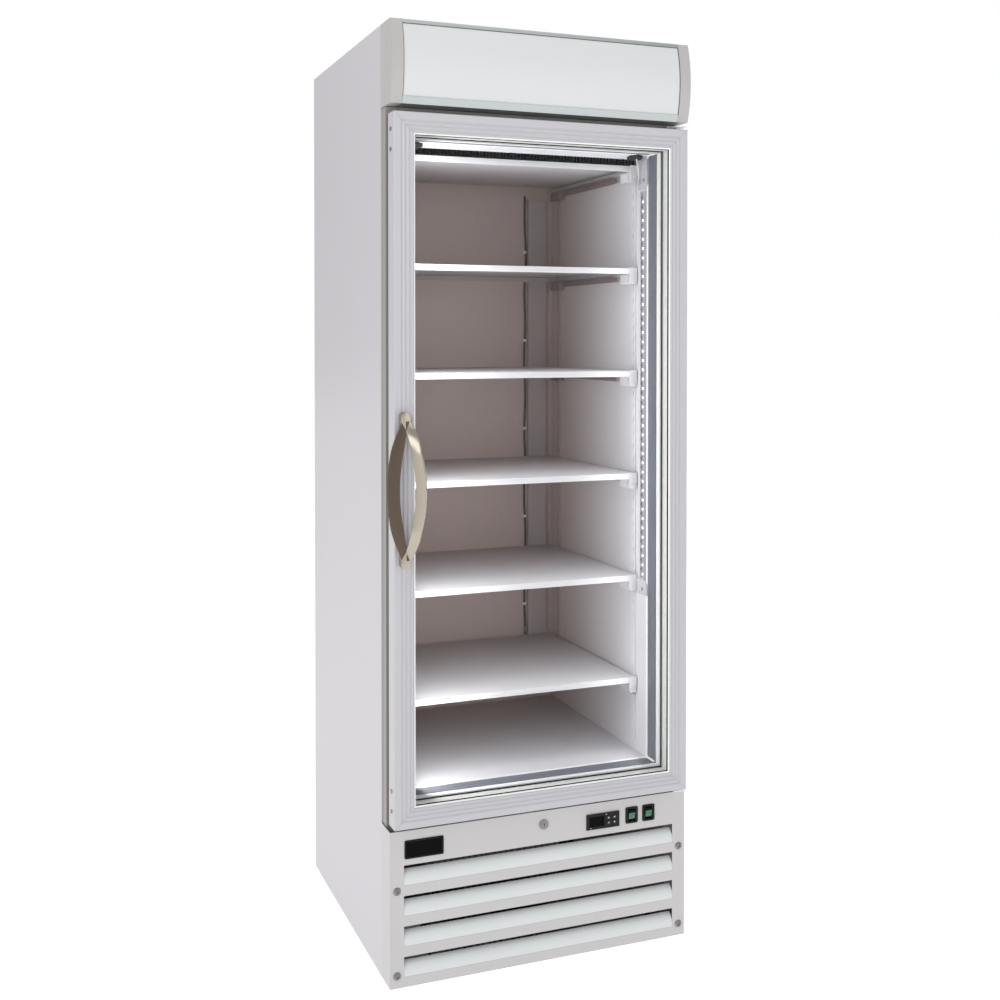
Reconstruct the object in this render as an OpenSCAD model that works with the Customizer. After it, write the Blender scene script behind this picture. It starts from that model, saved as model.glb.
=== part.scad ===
// Single-door glass merchandiser freezer: insulated upright cabinet, framed glass door,
// lit canopy above the door and a louvred machine base below it.
// Frame: origin on the floor under the middle of the overall box, +X to the right of a person
// facing the door, +Y from the door to the back, +Z up. Millimetres.

/* [Cabinet] */
// Width over the side panels
cab_w = 680; // [660:5:700]
// Depth of the side panels, without the door
cab_d = 600; // [580:5:620]
// Height from the floor to the top panel
cab_h = 1990; // [1985:1:1995]
// Height of the levelling feet below the side panels
foot_h = 20; // [18:1:24]
// Wall thickness, outer skin to liner
wall_t = 56; // [52:1:58]
// Sheet thickness of the outer panels
skin = 1.2; // [1:0.1:1.5]

/* [Door] */
// Height of the door's lower edge
door_z0 = 350; // [348:1:352]
// Height of the door's upper edge
door_z1 = 1803; // [1800:1:1805]
// Gap from the side panel's face to the door's edge
door_inset = 5; // [4:0.5:6]
// Depth of the door frame
door_t = 42; // [40:1:44]
// Width of the frame bars as seen from the front
bar_w = 42; // [40:1:44]

/* [Handle] */
// Distance of the handle's middle line left of the cabinet's middle
handle_x = 316; // [310:1:318]
// Height of the handle's middle
handle_z = 1040; // [1000:5:1080]
// Overall length of the handle
handle_len = 318; // [300:2:330]
// Thickness of the blades
blade_t = 6; // [5:0.5:8]

/* [Shelves] */
// Height of the lowest shelf's top
shelf_z1 = 571; // [560:1:580]
// Distance from one shelf to the next
shelf_pitch = 233.5; // [230:0.5:235]
// Height of each shelf's front lip
shelf_lip = 13; // [10:1:16]

/* [Canopy] */
// Height of the canopy's lower edge
canopy_z0 = 1820; // [1818:1:1824]
// Depth of the canopy at its upper and lower edges, in front of the side panels
canopy_d = 68; // [60:1:72]
// How far the canopy's middle bulges past its edges
canopy_bulge = 14; // [10:1:18]

/* [Base] */
// Height of the base panel's top
base_z1 = 341; // [340:1:342]
// Depth of the base panel in front of the side panels
base_d = 60; // [55:1:64]
// Height of each louvre opening
louvre_h = 41; // [36:1:44]
// Distance from one louvre to the next
louvre_pitch = 62.7; // [58:0.1:64]

/* [Hidden] */
$fn = 72;

half_w = cab_w / 2;
eps = 0.01;
over = 5;            // how far a cutter passes the face it cuts

// colours
panel_grey = [0.80, 0.79, 0.82];
frame_white = [0.84, 0.84, 0.86];
base_grey = [0.78, 0.78, 0.76];
inner_white = [0.92, 0.92, 0.93];
dark = [0.12, 0.12, 0.13];
steel = [0.62, 0.62, 0.64];
nickel = [0.62, 0.58, 0.53];
copper = [0.72, 0.45, 0.28];

// insulated space: liner faces
liner_t = 1;
liner_x = half_w - wall_t;            // inner face of each side liner
liner_y = cab_d - 50;                 // inner face of the back liner
floor_z = 400;
ceiling_z = cab_h - 65;
soffit_z = 1757;                      // lintel's underside at its front
soffit_drop = 7;                      // and how much lower it is at the back
strip_y = 8;                          // back edge of the jamb's lining
soffit_y = 45;                        // back face of the lintel
soffit_slope = atan(soffit_drop / (soffit_y - strip_y));
function soffit_at(y) = soffit_z - soffit_drop * (y - strip_y) / (soffit_y - strip_y);
foam_z0 = base_z1 + 2;

// front jamb and door planes, negative y is in front of the side panels
jamb_d = 27;
gasket_t = 8.5;
door_back = -jamb_d - 0.5 - gasket_t;
door_front = door_back - door_t;
door_x = half_w - door_inset;
door_mid_y = (door_back + door_front) / 2;
door_mid_z = (door_z0 + door_z1) / 2;
mitre_gap = 0.15;

// door frame section: u runs in from the door's edge, v runs back from the door's face
bar_wall = 2;
lip_t = 3;
rebate_u = 33;
glass_t = 4;
igu_t = 30;
groove_d = 1.5;
groove_us = [17.5, 26.5, 35.5];

// hinge line
pivot_x = door_x - 13;
pivot_y = door_mid_y;
pin_r = 5;
bush_clear = 0.05;
bush_r = 8.8;
bush_len = 30;
flange_r = 12;
torsion_len = 330;

// canopy front arc
canopy_h = cab_h - canopy_z0;
canopy_mid_z = (cab_h + canopy_z0) / 2;
canopy_r = (pow(canopy_h / 2, 2) + pow(canopy_bulge, 2)) / (2 * canopy_bulge);
canopy_cy = -canopy_d - canopy_bulge + canopy_r;
cap_w = 25;
trim_top_h = 8;
trim_bottom_h = 15;

// base panel features
base_step = 12;                       // the panel's top plate lies this far under its front edge
louvre_x = 310;
louvre_z0 = 41;                       // lower edge of the lowest opening
louvre_n = 4;
blade_flat = 8;
blade_in = 12;
blade_rise = 22;
blade_angle = 2 * atan(blade_in / blade_rise);
blade_r = blade_rise / sin(blade_angle);
blade_sheet = 1.2;
screw_x = 325;
screw_zs = [45, 219];
lock_z = 312;
lock_r = 6;
lock_clear = 0.05;
cam_len = 45;
cam_w = 14;
cam_y0 = -43;
cam_t = 2;
ctrl_x = [100, 178];
ctrl_z = [285, 318];
button_xs = [152, 166];
button_zs = [296, 307];
button_w = 9;
button_h = 6;
button_gap = 0.3;
switch_xs = [209, 250];
switch_z = 304;
switch_w = 30;
switch_h = 36;
rocker_r = 12.5;
rocker_w = 17;
rocker_y = -base_d + 7;               // rocker pivot
rocker_tilt = 12;

// handle blades: each is an arc in a plane through its two ends, tilted out from the door
blade_end = 140;
mount_h = 39;
mount_w = 20;
mount_d = 22;
blade_off = 18;
out_tilt = 48;
out_sag = 36;
out_w = 24;
in_tilt = -14;
in_sag = 25;
in_w = 26;

// overall box, which places the origin
front_reach = -door_front + blade_off + (out_sag + out_w / 2) * sin(out_tilt) + blade_t / 2 * cos(out_tilt);
left_reach = handle_x + (in_sag + in_w / 2) * cos(in_tilt) + blade_t / 2 * abs(sin(in_tilt));
frame_dx = (left_reach - half_w) / 2;
frame_dy = (front_reach - cab_d) / 2;

// shelves
shelf_x = 278;
shelf_y0 = 58;
shelf_y1 = 530;
shelf_t = 1.5;
duct_z = 1737;
clip_h = 22;
clip_d = 54;
clip_ys = [84.8, 490];
pilaster_ys = [75, 500];

// fans
cond_fan_r = 115;
cond_fan_c = [-90, 96, 176];
evap_fan_r = 68;
evap_fan_c = [0, 190, 1834];
shaft_r = 4;
shaft_clear = 0.05;

// ---------------------------------------------------------------- helpers
// moves a piece from cabinet coordinates (x from the middle, y from the side panels' front
// edges, z from the floor) into the part's frame
module placed() { translate([frame_dx, frame_dy, 0]) children(); }

module block(lo, hi) { translate(lo) cube(hi - lo); }

module both_sides() {
    children();
    mirror([1, 0, 0]) children();
}

module rod_x(r, x0, x1) { translate([x0, 0, 0]) rotate([0, 90, 0]) cylinder(r = r, h = x1 - x0); }

module rod_y(r, y0, y1) { translate([0, y1, 0]) rotate([90, 0, 0]) cylinder(r = r, h = y1 - y0); }

module rod_z(r, z0, z1) { translate([0, 0, z0]) cylinder(r = r, h = z1 - z0); }

// extrudes a y-z outline along x
module along_x(x0, x1) { translate([x0, 0, 0]) rotate([90, 0, 90]) linear_extrude(x1 - x0) children(); }

// puts a piece under the sloping lintel, z = 0 on its lower face
module on_soffit(x, y) { translate([x, y, soffit_at(y)]) rotate([-soffit_slope, 0, 0]) children(); }

// rectangular ring in the plane of the door, given its outer half width, heights and bar width
module door_ring(x, z0, z1, w, y0, y1) {
    difference() {
        block([-x, y0, z0], [x, y1, z1]);
        block([-x + w, y0 - over, z0 + w], [x - w, y1 + over, z1 - w]);
    }
}

// ---------------------------------------------------------------- cabinet shell
module side_panel() {
    return_w = 18;
    difference() {
        block([-half_w, 0, foot_h], [-half_w + return_w, cab_d, cab_h]);
        block([-half_w + skin, skin, foot_h - over], [0, cab_d - skin, cab_h + over]);
    }
}

module side_panels() { color(panel_grey) placed() both_sides() side_panel(); }

module back_and_top_panels() {
    x = half_w - skin;
    y1 = cab_d - skin;
    grille_z1 = base_z1 + 4;
    slot_w = 8;
    slot_pitch = 20;
    color(panel_grey) placed() {
        block([-x, y1 - skin, grille_z1 + 2], [x, y1, cab_h - skin - 0.2]);
        block([-x, skin, cab_h - skin], [x, y1 - 0.2, cab_h]);
        difference() {
            block([-x, y1 - skin, foot_h + 4], [x, y1, grille_z1]);
            for (column = [-1, 1], row = [0 : 11])
                translate([column * 150, 0, 60 + row * slot_pitch])
                    block([-110, y1 - over, 0], [110, y1 + over, slot_w]);
            translate([270, 0, 70]) rod_y(12.5, y1 - over, y1 + over);
        }
    }
}

module base_pan() {
    x = half_w - skin;
    y1 = cab_d - 2 * skin - 0.2;
    lip = 14;
    pan_t = 2;
    color(steel) placed() difference() {
        block([-x, skin, foot_h], [x, y1, foot_h + lip]);
        block([-x - over, skin + pan_t, foot_h + pan_t], [x + over, y1 - pan_t, foot_h + lip + over]);
        for (foot = foot_places()) translate([foot[0], foot[1], 0]) rod_z(6, 0, foot_h + over);
    }
}

module insulation_foam() {
    lintel_y = soffit_y - liner_t - 0.05;
    x = half_w - skin;
    y0 = skin;
    y1 = cab_d - 2 * skin;
    color([0.90, 0.84, 0.66]) placed() difference() {
        block([-x, y0, foam_z0], [x, y1, cab_h - skin]);
        difference() {
            block([-liner_x - liner_t, y0 - over, floor_z - liner_t],
                [liner_x + liner_t, liner_y + liner_t, ceiling_z + liner_t]);
            along_x(-liner_x + 0.05, liner_x - 0.05) polygon([
                [y0 - 2 * over, soffit_z + liner_t + 0.05], [strip_y, soffit_z + liner_t + 0.05],
                [lintel_y, soffit_at(lintel_y) + liner_t + 0.05], [lintel_y, ceiling_z + over],
                [y0 - 2 * over, ceiling_z + over]
            ]);
        }
    }
}

module liner() {
    y0 = strip_y + 0.05;
    y1 = soffit_y - eps;
    color(inner_white) placed() {
        both_sides() block([-liner_x - liner_t, y0, floor_z - liner_t],
            [-liner_x, liner_y + liner_t, ceiling_z + liner_t]);
        block([-liner_x + eps, liner_y, floor_z + eps], [liner_x - eps, liner_y + liner_t, ceiling_z]);
        block([-liner_x + eps, y0, floor_z - liner_t], [liner_x - eps, liner_y + liner_t, floor_z - eps]);
        block([-liner_x + eps, soffit_y, ceiling_z + eps],
            [liner_x - eps, liner_y + liner_t, ceiling_z + liner_t]);
        difference() {
            along_x(-liner_x + eps, liner_x - eps) polygon([
                [y0, soffit_at(y0)], [y1, soffit_at(y1)], [y1, ceiling_z + liner_t],
                [y1 - liner_t, ceiling_z + liner_t], [y1 - liner_t, soffit_at(y1 - liner_t) + liner_t],
                [y0, soffit_at(y0) + liner_t]
            ]);
            both_sides() on_soffit(grommet_x, grommet_y) rod_z(grommet_r - 3, -over, over);
        }
    }
}

// four bars round the door opening, with their ends butted, each with a thin lining leg that
// runs back to the liner's edge
module front_jamb() {
    x = half_w - 2.5;
    z0 = base_z1 - base_step + 1;
    z1 = canopy_z0 - 1;
    gap = 0.1;
    color([0.60, 0.59, 0.57]) placed() {
        both_sides() union() {
            block([-x, -jamb_d, z0], [-liner_x, -gap, z1]);
            block([-liner_x - liner_t, -2, floor_z - liner_t], [-liner_x, strip_y, soffit_z + liner_t]);
        }
        union() {
            block([-liner_x + gap, -jamb_d, z0], [liner_x - gap, -gap, floor_z]);
            block([-liner_x + gap, -2, floor_z - liner_t], [liner_x - gap, strip_y, floor_z]);
        }
        union() {
            block([-liner_x + gap, -jamb_d, soffit_z], [liner_x - gap, -gap, z1]);
            block([-liner_x + gap, -2, soffit_z], [liner_x - gap, strip_y, soffit_z + liner_t]);
        }
    }
}

// ---------------------------------------------------------------- air duct and evaporator
module duct_panel() {
    x = liner_x - 1.5;
    color(inner_white) placed() difference() {
        block([-x, shelf_y0, duct_z - shelf_lip], [x, liner_y - 40, duct_z]);
        block([-x - over, shelf_y0 + shelf_t, duct_z - shelf_lip - over], [x + over, liner_y, duct_z - shelf_t]);
        for (i = [-2 : 2]) translate([i * 90, liner_y - 80, 0]) rod_z(9, duct_z - over, duct_z + over);
    }
}

module air_grille() {
    rib_pitch = 118;
    z0 = duct_z + 0.5;
    z1 = soffit_z + 30;
    bar = 4;
    y0 = shelf_y0 + 4;
    color(dark) placed() {
        block([-liner_x + 2, y0, z0], [liner_x - 2, y0 + 4, z0 + bar]);
        block([-liner_x + 2, y0, z1 - bar], [liner_x - 2, y0 + 4, z1]);
        for (i = [-2 : 2]) translate([i * rib_pitch, 0, 0])
            block([-1.5, y0, z0 + bar - eps], [1.5, y0 + 4, z1 - bar + eps]);
    }
}

module evaporator_coil() {
    fins = 30;
    fin_pitch = 12.5;
    y0 = 270;
    y1 = 420;
    z0 = 1765;
    z1 = 1900;
    tube_r = 5;
    x = fins * fin_pitch / 2;
    color(steel) placed() {
        for (side = [-1, 1]) translate([side * x, 0, 0]) block([-1, y0, z0], [1, y1, z1]);
        for (row = [0 : 3], col = [0 : 2]) translate([0, y0 + 28 + col * 45, z0 + 20 + row * 32])
            rod_x(tube_r, -x - 12, x + 12);
        for (i = [1 : fins - 1]) translate([-x + i * fin_pitch, 0, 0])
            block([-0.3, y0 + 6, z0 + 5], [0.3, y1 - 6, z1 - 5]);
    }
}

module fan_blades(r, count, depth, hub_r) {
    blade_thick = 2;
    pitch_angle = 32;
    intersection() {
        union() for (i = [0 : count - 1]) rotate([0, i * 360 / count, 0])
            translate([0, 0, hub_r - 1]) rotate([0, 0, pitch_angle])
                block([-r * 0.32, -blade_thick / 2, 0], [r * 0.32, blade_thick / 2, r]);
        rod_y(r, -depth / 2, depth / 2);
    }
}

// rotor in its own coordinates: the shaft lies on the y axis, hub in the middle
module rotor(r, count, depth, hub_r, shaft_end) {
    fan_blades(r, count, depth, hub_r);
    rod_y(hub_r, -depth / 2, depth / 2);
    rod_y(shaft_r, 0, shaft_end);
}

// motor can behind a rotor, with a bored front boss and a ring shroud with arms
module fan_motor(r, ring_in, ring_y, can_r, can_y0, can_y1) {
    ring_t = 8;
    difference() {
        union() {
            rod_y(can_r, can_y0, can_y1);
            for (i = [0 : 2]) rotate([0, 90 + i * 120, 0])
                block([-5, can_y0 + 6, can_r - 2], [5, can_y0 + 12, ring_in + ring_t - 3]);
            difference() {
                rod_y(ring_in + ring_t, ring_y[0], ring_y[1]);
                rod_y(ring_in, ring_y[0] - over, ring_y[1] - 3);
                rod_y(ring_in - 12, ring_y[0] - over, ring_y[1] + over);
            }
            for (i = [0 : 2]) rotate([0, 90 + i * 120, 0])
                block([-5, ring_y[1] - 2, ring_in - 8], [5, can_y0 + 12, ring_in + ring_t - 3]);
        }
        rod_y(shaft_r + shaft_clear, can_y0 - over, can_y0 + 30);
    }
}

module evaporator_fan() {
    color(dark) placed() translate(evap_fan_c) rotor(evap_fan_r, 5, 18, 18, 50);
}

module evaporator_fan_motor() {
    color(steel) placed() translate(evap_fan_c)
        fan_motor(evap_fan_r, evap_fan_r + 4, [-18, 14], 26, 24, 64);
}

// ---------------------------------------------------------------- interior fittings
grommet_x = 259;
grommet_y = 26.5;
grommet_r = 17.4;
lead_bore = [7, 5];                   // the lead's hole, from the grommet's middle
led_y = 25;
led_z0 = 801;
led_z1 = 1677;
strip_w = 18;
strip_d = 7;
plate_y = [8.5, 55];
plate_low_z = [765, led_z0 - 2];
plate_high_z = [led_z1 + 6, 1748];

// y-z outline of a strip's end plate, one of its front corners rounded
module led_plate_outline(y, z, round_top) {
    r = 14;
    cz = round_top ? z[1] - r : z[0] + r;
    translate([y[0], round_top ? z[0] : cz]) square([y[1] - y[0], z[1] - z[0] - r]);
    translate([y[0] + r, z[0]]) square([y[1] - y[0] - r, z[1] - z[0]]);
    translate([y[0] + r, cz]) circle(r);
}

module led_plate(z, round_top, screw) {
    plate_t = 3;
    difference() {
        along_x(-liner_x, -liner_x + plate_t) led_plate_outline(plate_y, z, round_top);
        translate([0, screw[0], screw[1]]) rod_x(2.2, -liner_x - over, -liner_x + over);
    }
}

module led_strips() {
    color([0.93, 0.94, 0.95]) placed() both_sides() {
        difference() {
            block([-liner_x, led_y - strip_w / 2, led_z0], [-liner_x + strip_d, led_y + strip_w / 2, led_z1]);
            block([-liner_x + strip_d - 2, led_y - strip_w / 2 + 2, led_z0 - over],
                [-liner_x + strip_d + over, led_y + strip_w / 2 - 2, led_z1 + over]);
        }
        led_plate(plate_low_z, true, [29, 778]);
        // upper plate with the lead's connector on it
        union() {
            led_plate(plate_high_z, false, [25, 1702]);
            block([-liner_x + 1, 37, 1694], [-liner_x + 9, 49, 1706]);
        }
    }
}

module cable_grommets() {
    color(dark) placed() both_sides() on_soffit(grommet_x, grommet_y) difference() {
        union() {
            rod_z(grommet_r, -4, -eps);
            rod_z(grommet_r - 4, -4, liner_t);
        }
        translate([lead_bore[0], lead_bore[1], 0]) rod_z(3, -over, over);
    }
}

module shelf(level) {
    z = shelf_z1 + (level - 1) * shelf_pitch;
    hole_r = 3;
    hole_pitch = 60;
    holes = floor((shelf_y1 - shelf_y0 - 30) / hole_pitch);
    color(inner_white) placed() translate([0, 0, z]) difference() {
        block([-shelf_x, shelf_y0, -shelf_lip], [shelf_x, shelf_y1, 0]);
        block([-shelf_x + shelf_t, shelf_y0 + shelf_t, -shelf_lip - over],
            [shelf_x - shelf_t, shelf_y1 - shelf_t, -shelf_t]);
        for (i = [0 : holes]) translate([0, shelf_y0 + 22 + i * hole_pitch, -shelf_lip / 2 - 1])
            rod_x(hole_r, -shelf_x - over, shelf_x + over);
    }
}

// rails on the side pilasters: under each shelf and under the duct panel a slotted hanger at the
// front and the back, joined by a ledge; the front hangers have a tab before the lip's end
module shelf_clips() {
    wall = 1.5;
    x1 = -liner_x + 2.7;
    x2 = x1 + 15.3;
    tab_y = shelf_y0 - 2.2;
    slot_y = 13;
    levels = concat([for (i = [0 : 4]) shelf_z1 + i * shelf_pitch], [duct_z]);
    color([0.95, 0.95, 0.95]) placed() both_sides() for (level = levels)
        translate([0, 0, level - shelf_lip - 0.2]) difference() {
            union() {
                for (y = clip_ys) block([x1, y - clip_d / 2, -clip_h], [x2, y + clip_d / 2, 0]);
                block([x1, clip_ys[0], -wall], [x2, clip_ys[1], 0]);
                block([x1, clip_ys[0], -14], [x1 + wall, clip_ys[1], 0]);
                block([x1, tab_y, -10], [x2 + 3, tab_y + 1.9, shelf_lip + 2]);
                block([x1, tab_y + 0.5, -10], [x2, clip_ys[0], -wall]);
            }
            for (y = clip_ys) {
                block([x1 + wall, y - clip_d / 2 + wall, -clip_h - over], [x2 - wall, y + clip_d / 2 - wall, -wall]);
                translate([0, y + (y < 200 ? -slot_y : slot_y), 0])
                    block([x2 - 4, -2, -17], [x2 + over, 2, -5]);
            }
            for (y = [160, 250, 340]) translate([0, y, -7]) rod_x(3.2, x1 - over, x1 + over);
        }
}

module shelf_pilasters() {
    z0 = floor_z + 25;
    z1 = duct_z - 30;
    slots = 42;
    color(inner_white) placed() both_sides() {
        difference() {
            block([-265, liner_y - 10, z0], [-214, liner_y, z1]);
            block([-265 + 1.5, liner_y - 8.5, z0 - over], [-214 - 1.5, liner_y + over, z1 + over]);
        }
        for (y = pilaster_ys) difference() {
            block([-liner_x, y - 9, z0], [-liner_x + 2.5, y + 9, z1]);
            for (i = [0 : slots]) translate([0, y, z0 + 15 + i * 30])
                block([-liner_x - over, -1.5, -6], [-liner_x + over, 1.5, 6]);
        }
    }
}

// temperature probe lead, held along the back liner beside the right pilaster
probe_r = 2.5;
probe_points = [
    [206, 546, 1716], [206, 546, 1640], [209, 546, 1560], [205, 546, 1470], [207, 546, 1380],
    [204, 546, 1290], [208, 546, 1200], [205, 546, 1110], [207, 546, 1020], [204, 546, 930],
    [208, 546, 840], [206, 546, 750], [205, 546, 660], [207, 546, 590]
];

function catmull(a, b, c, d, t) =
    0.5 * (2 * b + (c - a) * t + (2 * a - 5 * b + 4 * c - d) * t * t + (3 * b - a - 3 * c + d) * t * t * t);
function route(points, steps) = [
    for (i = [0 : len(points) - 2], s = [0 : steps - 1])
        catmull(points[max(i - 1, 0)], points[i], points[i + 1], points[min(i + 2, len(points) - 1)], s / steps),
    points[len(points) - 1]
];

// tube round a mostly vertical route, each ring level
module swept_tube(points, r, sides) {
    n = len(points);
    verts = [for (p = points, k = [0 : sides - 1]) p + r * [cos(k * 360 / sides), sin(k * 360 / sides), 0]];
    walls = [for (i = [0 : n - 2], k = [0 : sides - 1])
        [i * sides + k, i * sides + (k + 1) % sides, (i + 1) * sides + (k + 1) % sides, (i + 1) * sides + k]];
    caps = [[for (k = [sides - 1 : -1 : 0]) k], [for (k = [0 : sides - 1]) (n - 1) * sides + k]];
    polyhedron(points = verts, faces = concat(walls, caps), convexity = 6);
}

// leads of the light strips, from the grommets down to the connectors on the upper plates
lead_r = 1.5;
lead_points = [
    [266, 31.2, 1753.4], [266, 31, 1749], [268, 33, 1741], [272, 36, 1730], [275, 40, 1718],
    [278.5, 43, 1706]
];

module inner_cables() {
    color([0.25, 0.20, 0.18]) placed() {
        swept_tube(route(probe_points, 4), probe_r, 8);
        both_sides() swept_tube(route(lead_points, 3), lead_r, 8);
    }
}

// ---------------------------------------------------------------- canopy
// solid between the canopy's front arc, moved in by inset, and the plane y = back
module canopy_solid(x0, x1, inset, back, z0, z1) {
    intersection() {
        block([x0, -canopy_d - canopy_bulge - over, z0], [x1, back, z1]);
        translate([0, canopy_cy, canopy_mid_z]) rod_x(canopy_r - inset, x0 - over, x1 + over);
    }
}

module canopy_caps() {
    wall = 3;
    x0 = -half_w;
    color(panel_grey) placed() both_sides() difference() {
        canopy_solid(x0, x0 + cap_w, 0, -0.2, canopy_z0, cab_h);
        canopy_solid(x0 + wall, x0 + cap_w + over, wall, -wall, canopy_z0 + wall, cab_h - wall);
    }
}

module canopy_panel() {
    x = half_w - cap_w - 0.5;
    color([0.93, 0.94, 0.95]) placed() difference() {
        canopy_solid(-x, x, 1.8, 0, canopy_z0 + trim_bottom_h + 0.4, cab_h - trim_top_h - 0.4);
        canopy_solid(-x - over, x + over, 4.8, over, canopy_z0, cab_h);
    }
}

module canopy_trims() {
    x = half_w - cap_w - 0.3;
    leg = 1.5;
    wall = 5.5;
    spans = [[cab_h - trim_top_h, cab_h, 0], [canopy_z0, canopy_z0 + trim_bottom_h, trim_bottom_h - leg]];
    color([0.72, 0.74, 0.75]) placed() for (s = spans) {
        union() {
            difference() {
                canopy_solid(-x, x, 0.2, 0, s[0], s[1]);
                canopy_solid(-x - over, x + over, wall, over, s[0] - over, s[1] + over);
            }
            z = s[2] == 0 ? s[1] - leg : s[0];
            canopy_solid(-x, x, wall - 1, -1.6, z, z + leg);
        }
    }
}

// sheet behind the canopy with two lamp holder brackets
lamp_y = -36;
lamp_x = 270;
module canopy_back() {
    x = half_w - cap_w - 0.5;
    color(inner_white) placed() {
        block([-x, -1.4, canopy_z0 + 3.2], [x, -0.2, cab_h - 3.2]);
        both_sides() difference() {
            block([-lamp_x - 16, lamp_y - 16, canopy_mid_z - 14], [-lamp_x - 2, -1.4, canopy_mid_z + 14]);
            translate([0, lamp_y, canopy_mid_z]) rod_x(3, -lamp_x - 10, -lamp_x + over);
        }
    }
}

module canopy_lamp() {
    color([0.96, 0.97, 1.0]) placed() translate([0, lamp_y, canopy_mid_z]) {
        rod_x(13, -lamp_x, lamp_x);
        both_sides() rod_x(1.2, -lamp_x - 8, -lamp_x + 1);
    }
}

// ---------------------------------------------------------------- machine base
// plain tray that the front openings are cut from, with its top plate a step below the edge
module base_shell() {
    difference() {
        block([-half_w, -base_d, foot_h], [half_w, -0.2, base_z1]);
        block([-half_w + skin, -base_d + skin, foot_h + skin],
            [half_w - skin, over, base_z1 - base_step - skin]);
        block([-half_w + skin, -base_d + skin, base_z1 - base_step], [half_w - skin, over, base_z1 + over]);
    }
}

module base_panel() {
    y0 = -base_d - over;
    y1 = -base_d + over;
    color(base_grey) placed() difference() {
        base_shell();
        for (i = [0 : louvre_n - 1]) translate([0, 0, louvre_z0 + i * louvre_pitch])
            block([-louvre_x, y0, 0], [louvre_x, y1, louvre_h]);
        both_sides() for (z = screw_zs) translate([screw_x, 0, z]) rod_y(3.2, y0, y1);
        translate([0, 0, lock_z]) rod_y(9.2, y0, y1);
        block([ctrl_x[0] + 4, y0, ctrl_z[0] + 3], [ctrl_x[1] - 4, y1, ctrl_z[1] - 3]);
        for (x = switch_xs) block([x - switch_w / 2 + 3, y0, switch_z - switch_h / 2 + 3],
            [x + switch_w / 2 - 3, y1, switch_z + switch_h / 2 - 3]);
        block([-9, cam_y0 - 3, base_z1 - base_step - over],
            [cam_len + 1, cam_y0 + cam_t + 3, base_z1 - base_step + over]);
    }
}

// pressed blades: each rises from its opening's lower edge and curls inward
module louvres() {
    x = louvre_x - 0.3;
    color(base_grey) placed() for (i = [0 : louvre_n - 1])
        translate([-x, -base_d, louvre_z0 + i * louvre_pitch + 0.2]) {
            cube([2 * x, blade_sheet, blade_flat]);
            translate([0, blade_r, blade_flat]) rotate([0, 90, 0]) rotate([0, 0, -90])
                mirror([0, 1, 0]) rotate_extrude(angle = blade_angle)
                    translate([blade_r - blade_sheet, 0]) square([blade_sheet, 2 * x]);
        }
}

module panel_screws() {
    dome_r = 17 / 2;
    dome_h = 3.6;
    ball_r = (dome_r * dome_r + dome_h * dome_h) / (2 * dome_h);
    color(steel) placed() both_sides() for (z = screw_zs) translate([screw_x, -base_d, z]) {
        intersection() {
            translate([0, ball_r - dome_h, 0]) sphere(ball_r);
            rod_y(dome_r, -dome_h, 0);
        }
        rod_y(3, -eps, 14);
    }
}

module nameplate() {
    plate_t = 1.6;
    r = 3;
    lo = [-309, 283];
    hi = [-225, 321];
    color(dark) placed() translate([0, -base_d, 0]) rotate([90, 0, 0]) linear_extrude(plate_t) {
        translate([lo[0] + r, lo[1]]) square([hi[0] - lo[0] - 2 * r, hi[1] - lo[1]]);
        translate([lo[0], lo[1] + r]) square([hi[0] - lo[0], hi[1] - lo[1] - 2 * r]);
        for (x = [lo[0] + r, hi[0] - r], z = [lo[1] + r, hi[1] - r]) translate([x, z]) circle(r);
    }
}

module lock_housing() {
    flange = 10;
    color([0.75, 0.75, 0.77]) placed() translate([0, 0, lock_z]) difference() {
        union() {
            rod_y(flange, -base_d - 3, -base_d);
            rod_y(9, -base_d - eps, cam_y0 - 1);
            rod_y(12.5, -base_d + skin + 0.1, -base_d + skin + 4);
        }
        rod_y(lock_r + lock_clear, -base_d - over, over);
    }
}

// key plug with its cam, lying to the right when unlocked
module lock_plug() {
    key_slot = [1.6, 7];
    color([0.70, 0.70, 0.72]) placed() translate([0, 0, lock_z]) difference() {
        union() {
            rod_y(lock_r, -base_d - 3.4, cam_y0 + cam_t + 3);
            intersection() {
                block([-cam_w / 2, cam_y0, -cam_w / 2], [cam_len, cam_y0 + cam_t, cam_w / 2]);
                rod_y(cam_len, cam_y0, cam_y0 + cam_t);
            }
        }
        block([-key_slot[0] / 2, -base_d - over, -key_slot[1] / 2], [key_slot[0] / 2, -base_d + 6, key_slot[1] / 2]);
    }
}

window_x = [106, 142];
window_z = [290.5, 312.5];

module controller_case() {
    bezel_t = 3;
    body_y1 = -12;
    color(dark) placed() difference() {
        union() {
            block([ctrl_x[0], -base_d - bezel_t, ctrl_z[0]], [ctrl_x[1], -base_d, ctrl_z[1]]);
            block([ctrl_x[0] + 4.5, -base_d - 1, ctrl_z[0] + 3.5], [ctrl_x[1] - 4.5, body_y1, ctrl_z[1] - 3.5]);
        }
        block([window_x[0], -base_d - bezel_t - over, window_z[0]], [window_x[1], -base_d - 1, window_z[1]]);
        for (x = button_xs, z = button_zs)
            block([x - button_w / 2 - button_gap, -base_d - over, z - button_h / 2 - button_gap],
                [x + button_w / 2 + button_gap, -base_d + 3, z + button_h / 2 + button_gap]);
    }
}

module controller_window() {
    gap = 0.2;
    color([0.05, 0.06, 0.07]) placed() block([window_x[0] + gap, -base_d - 2.7, window_z[0] + gap],
        [window_x[1] - gap, -base_d - 1, window_z[1] - gap]);
}

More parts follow.
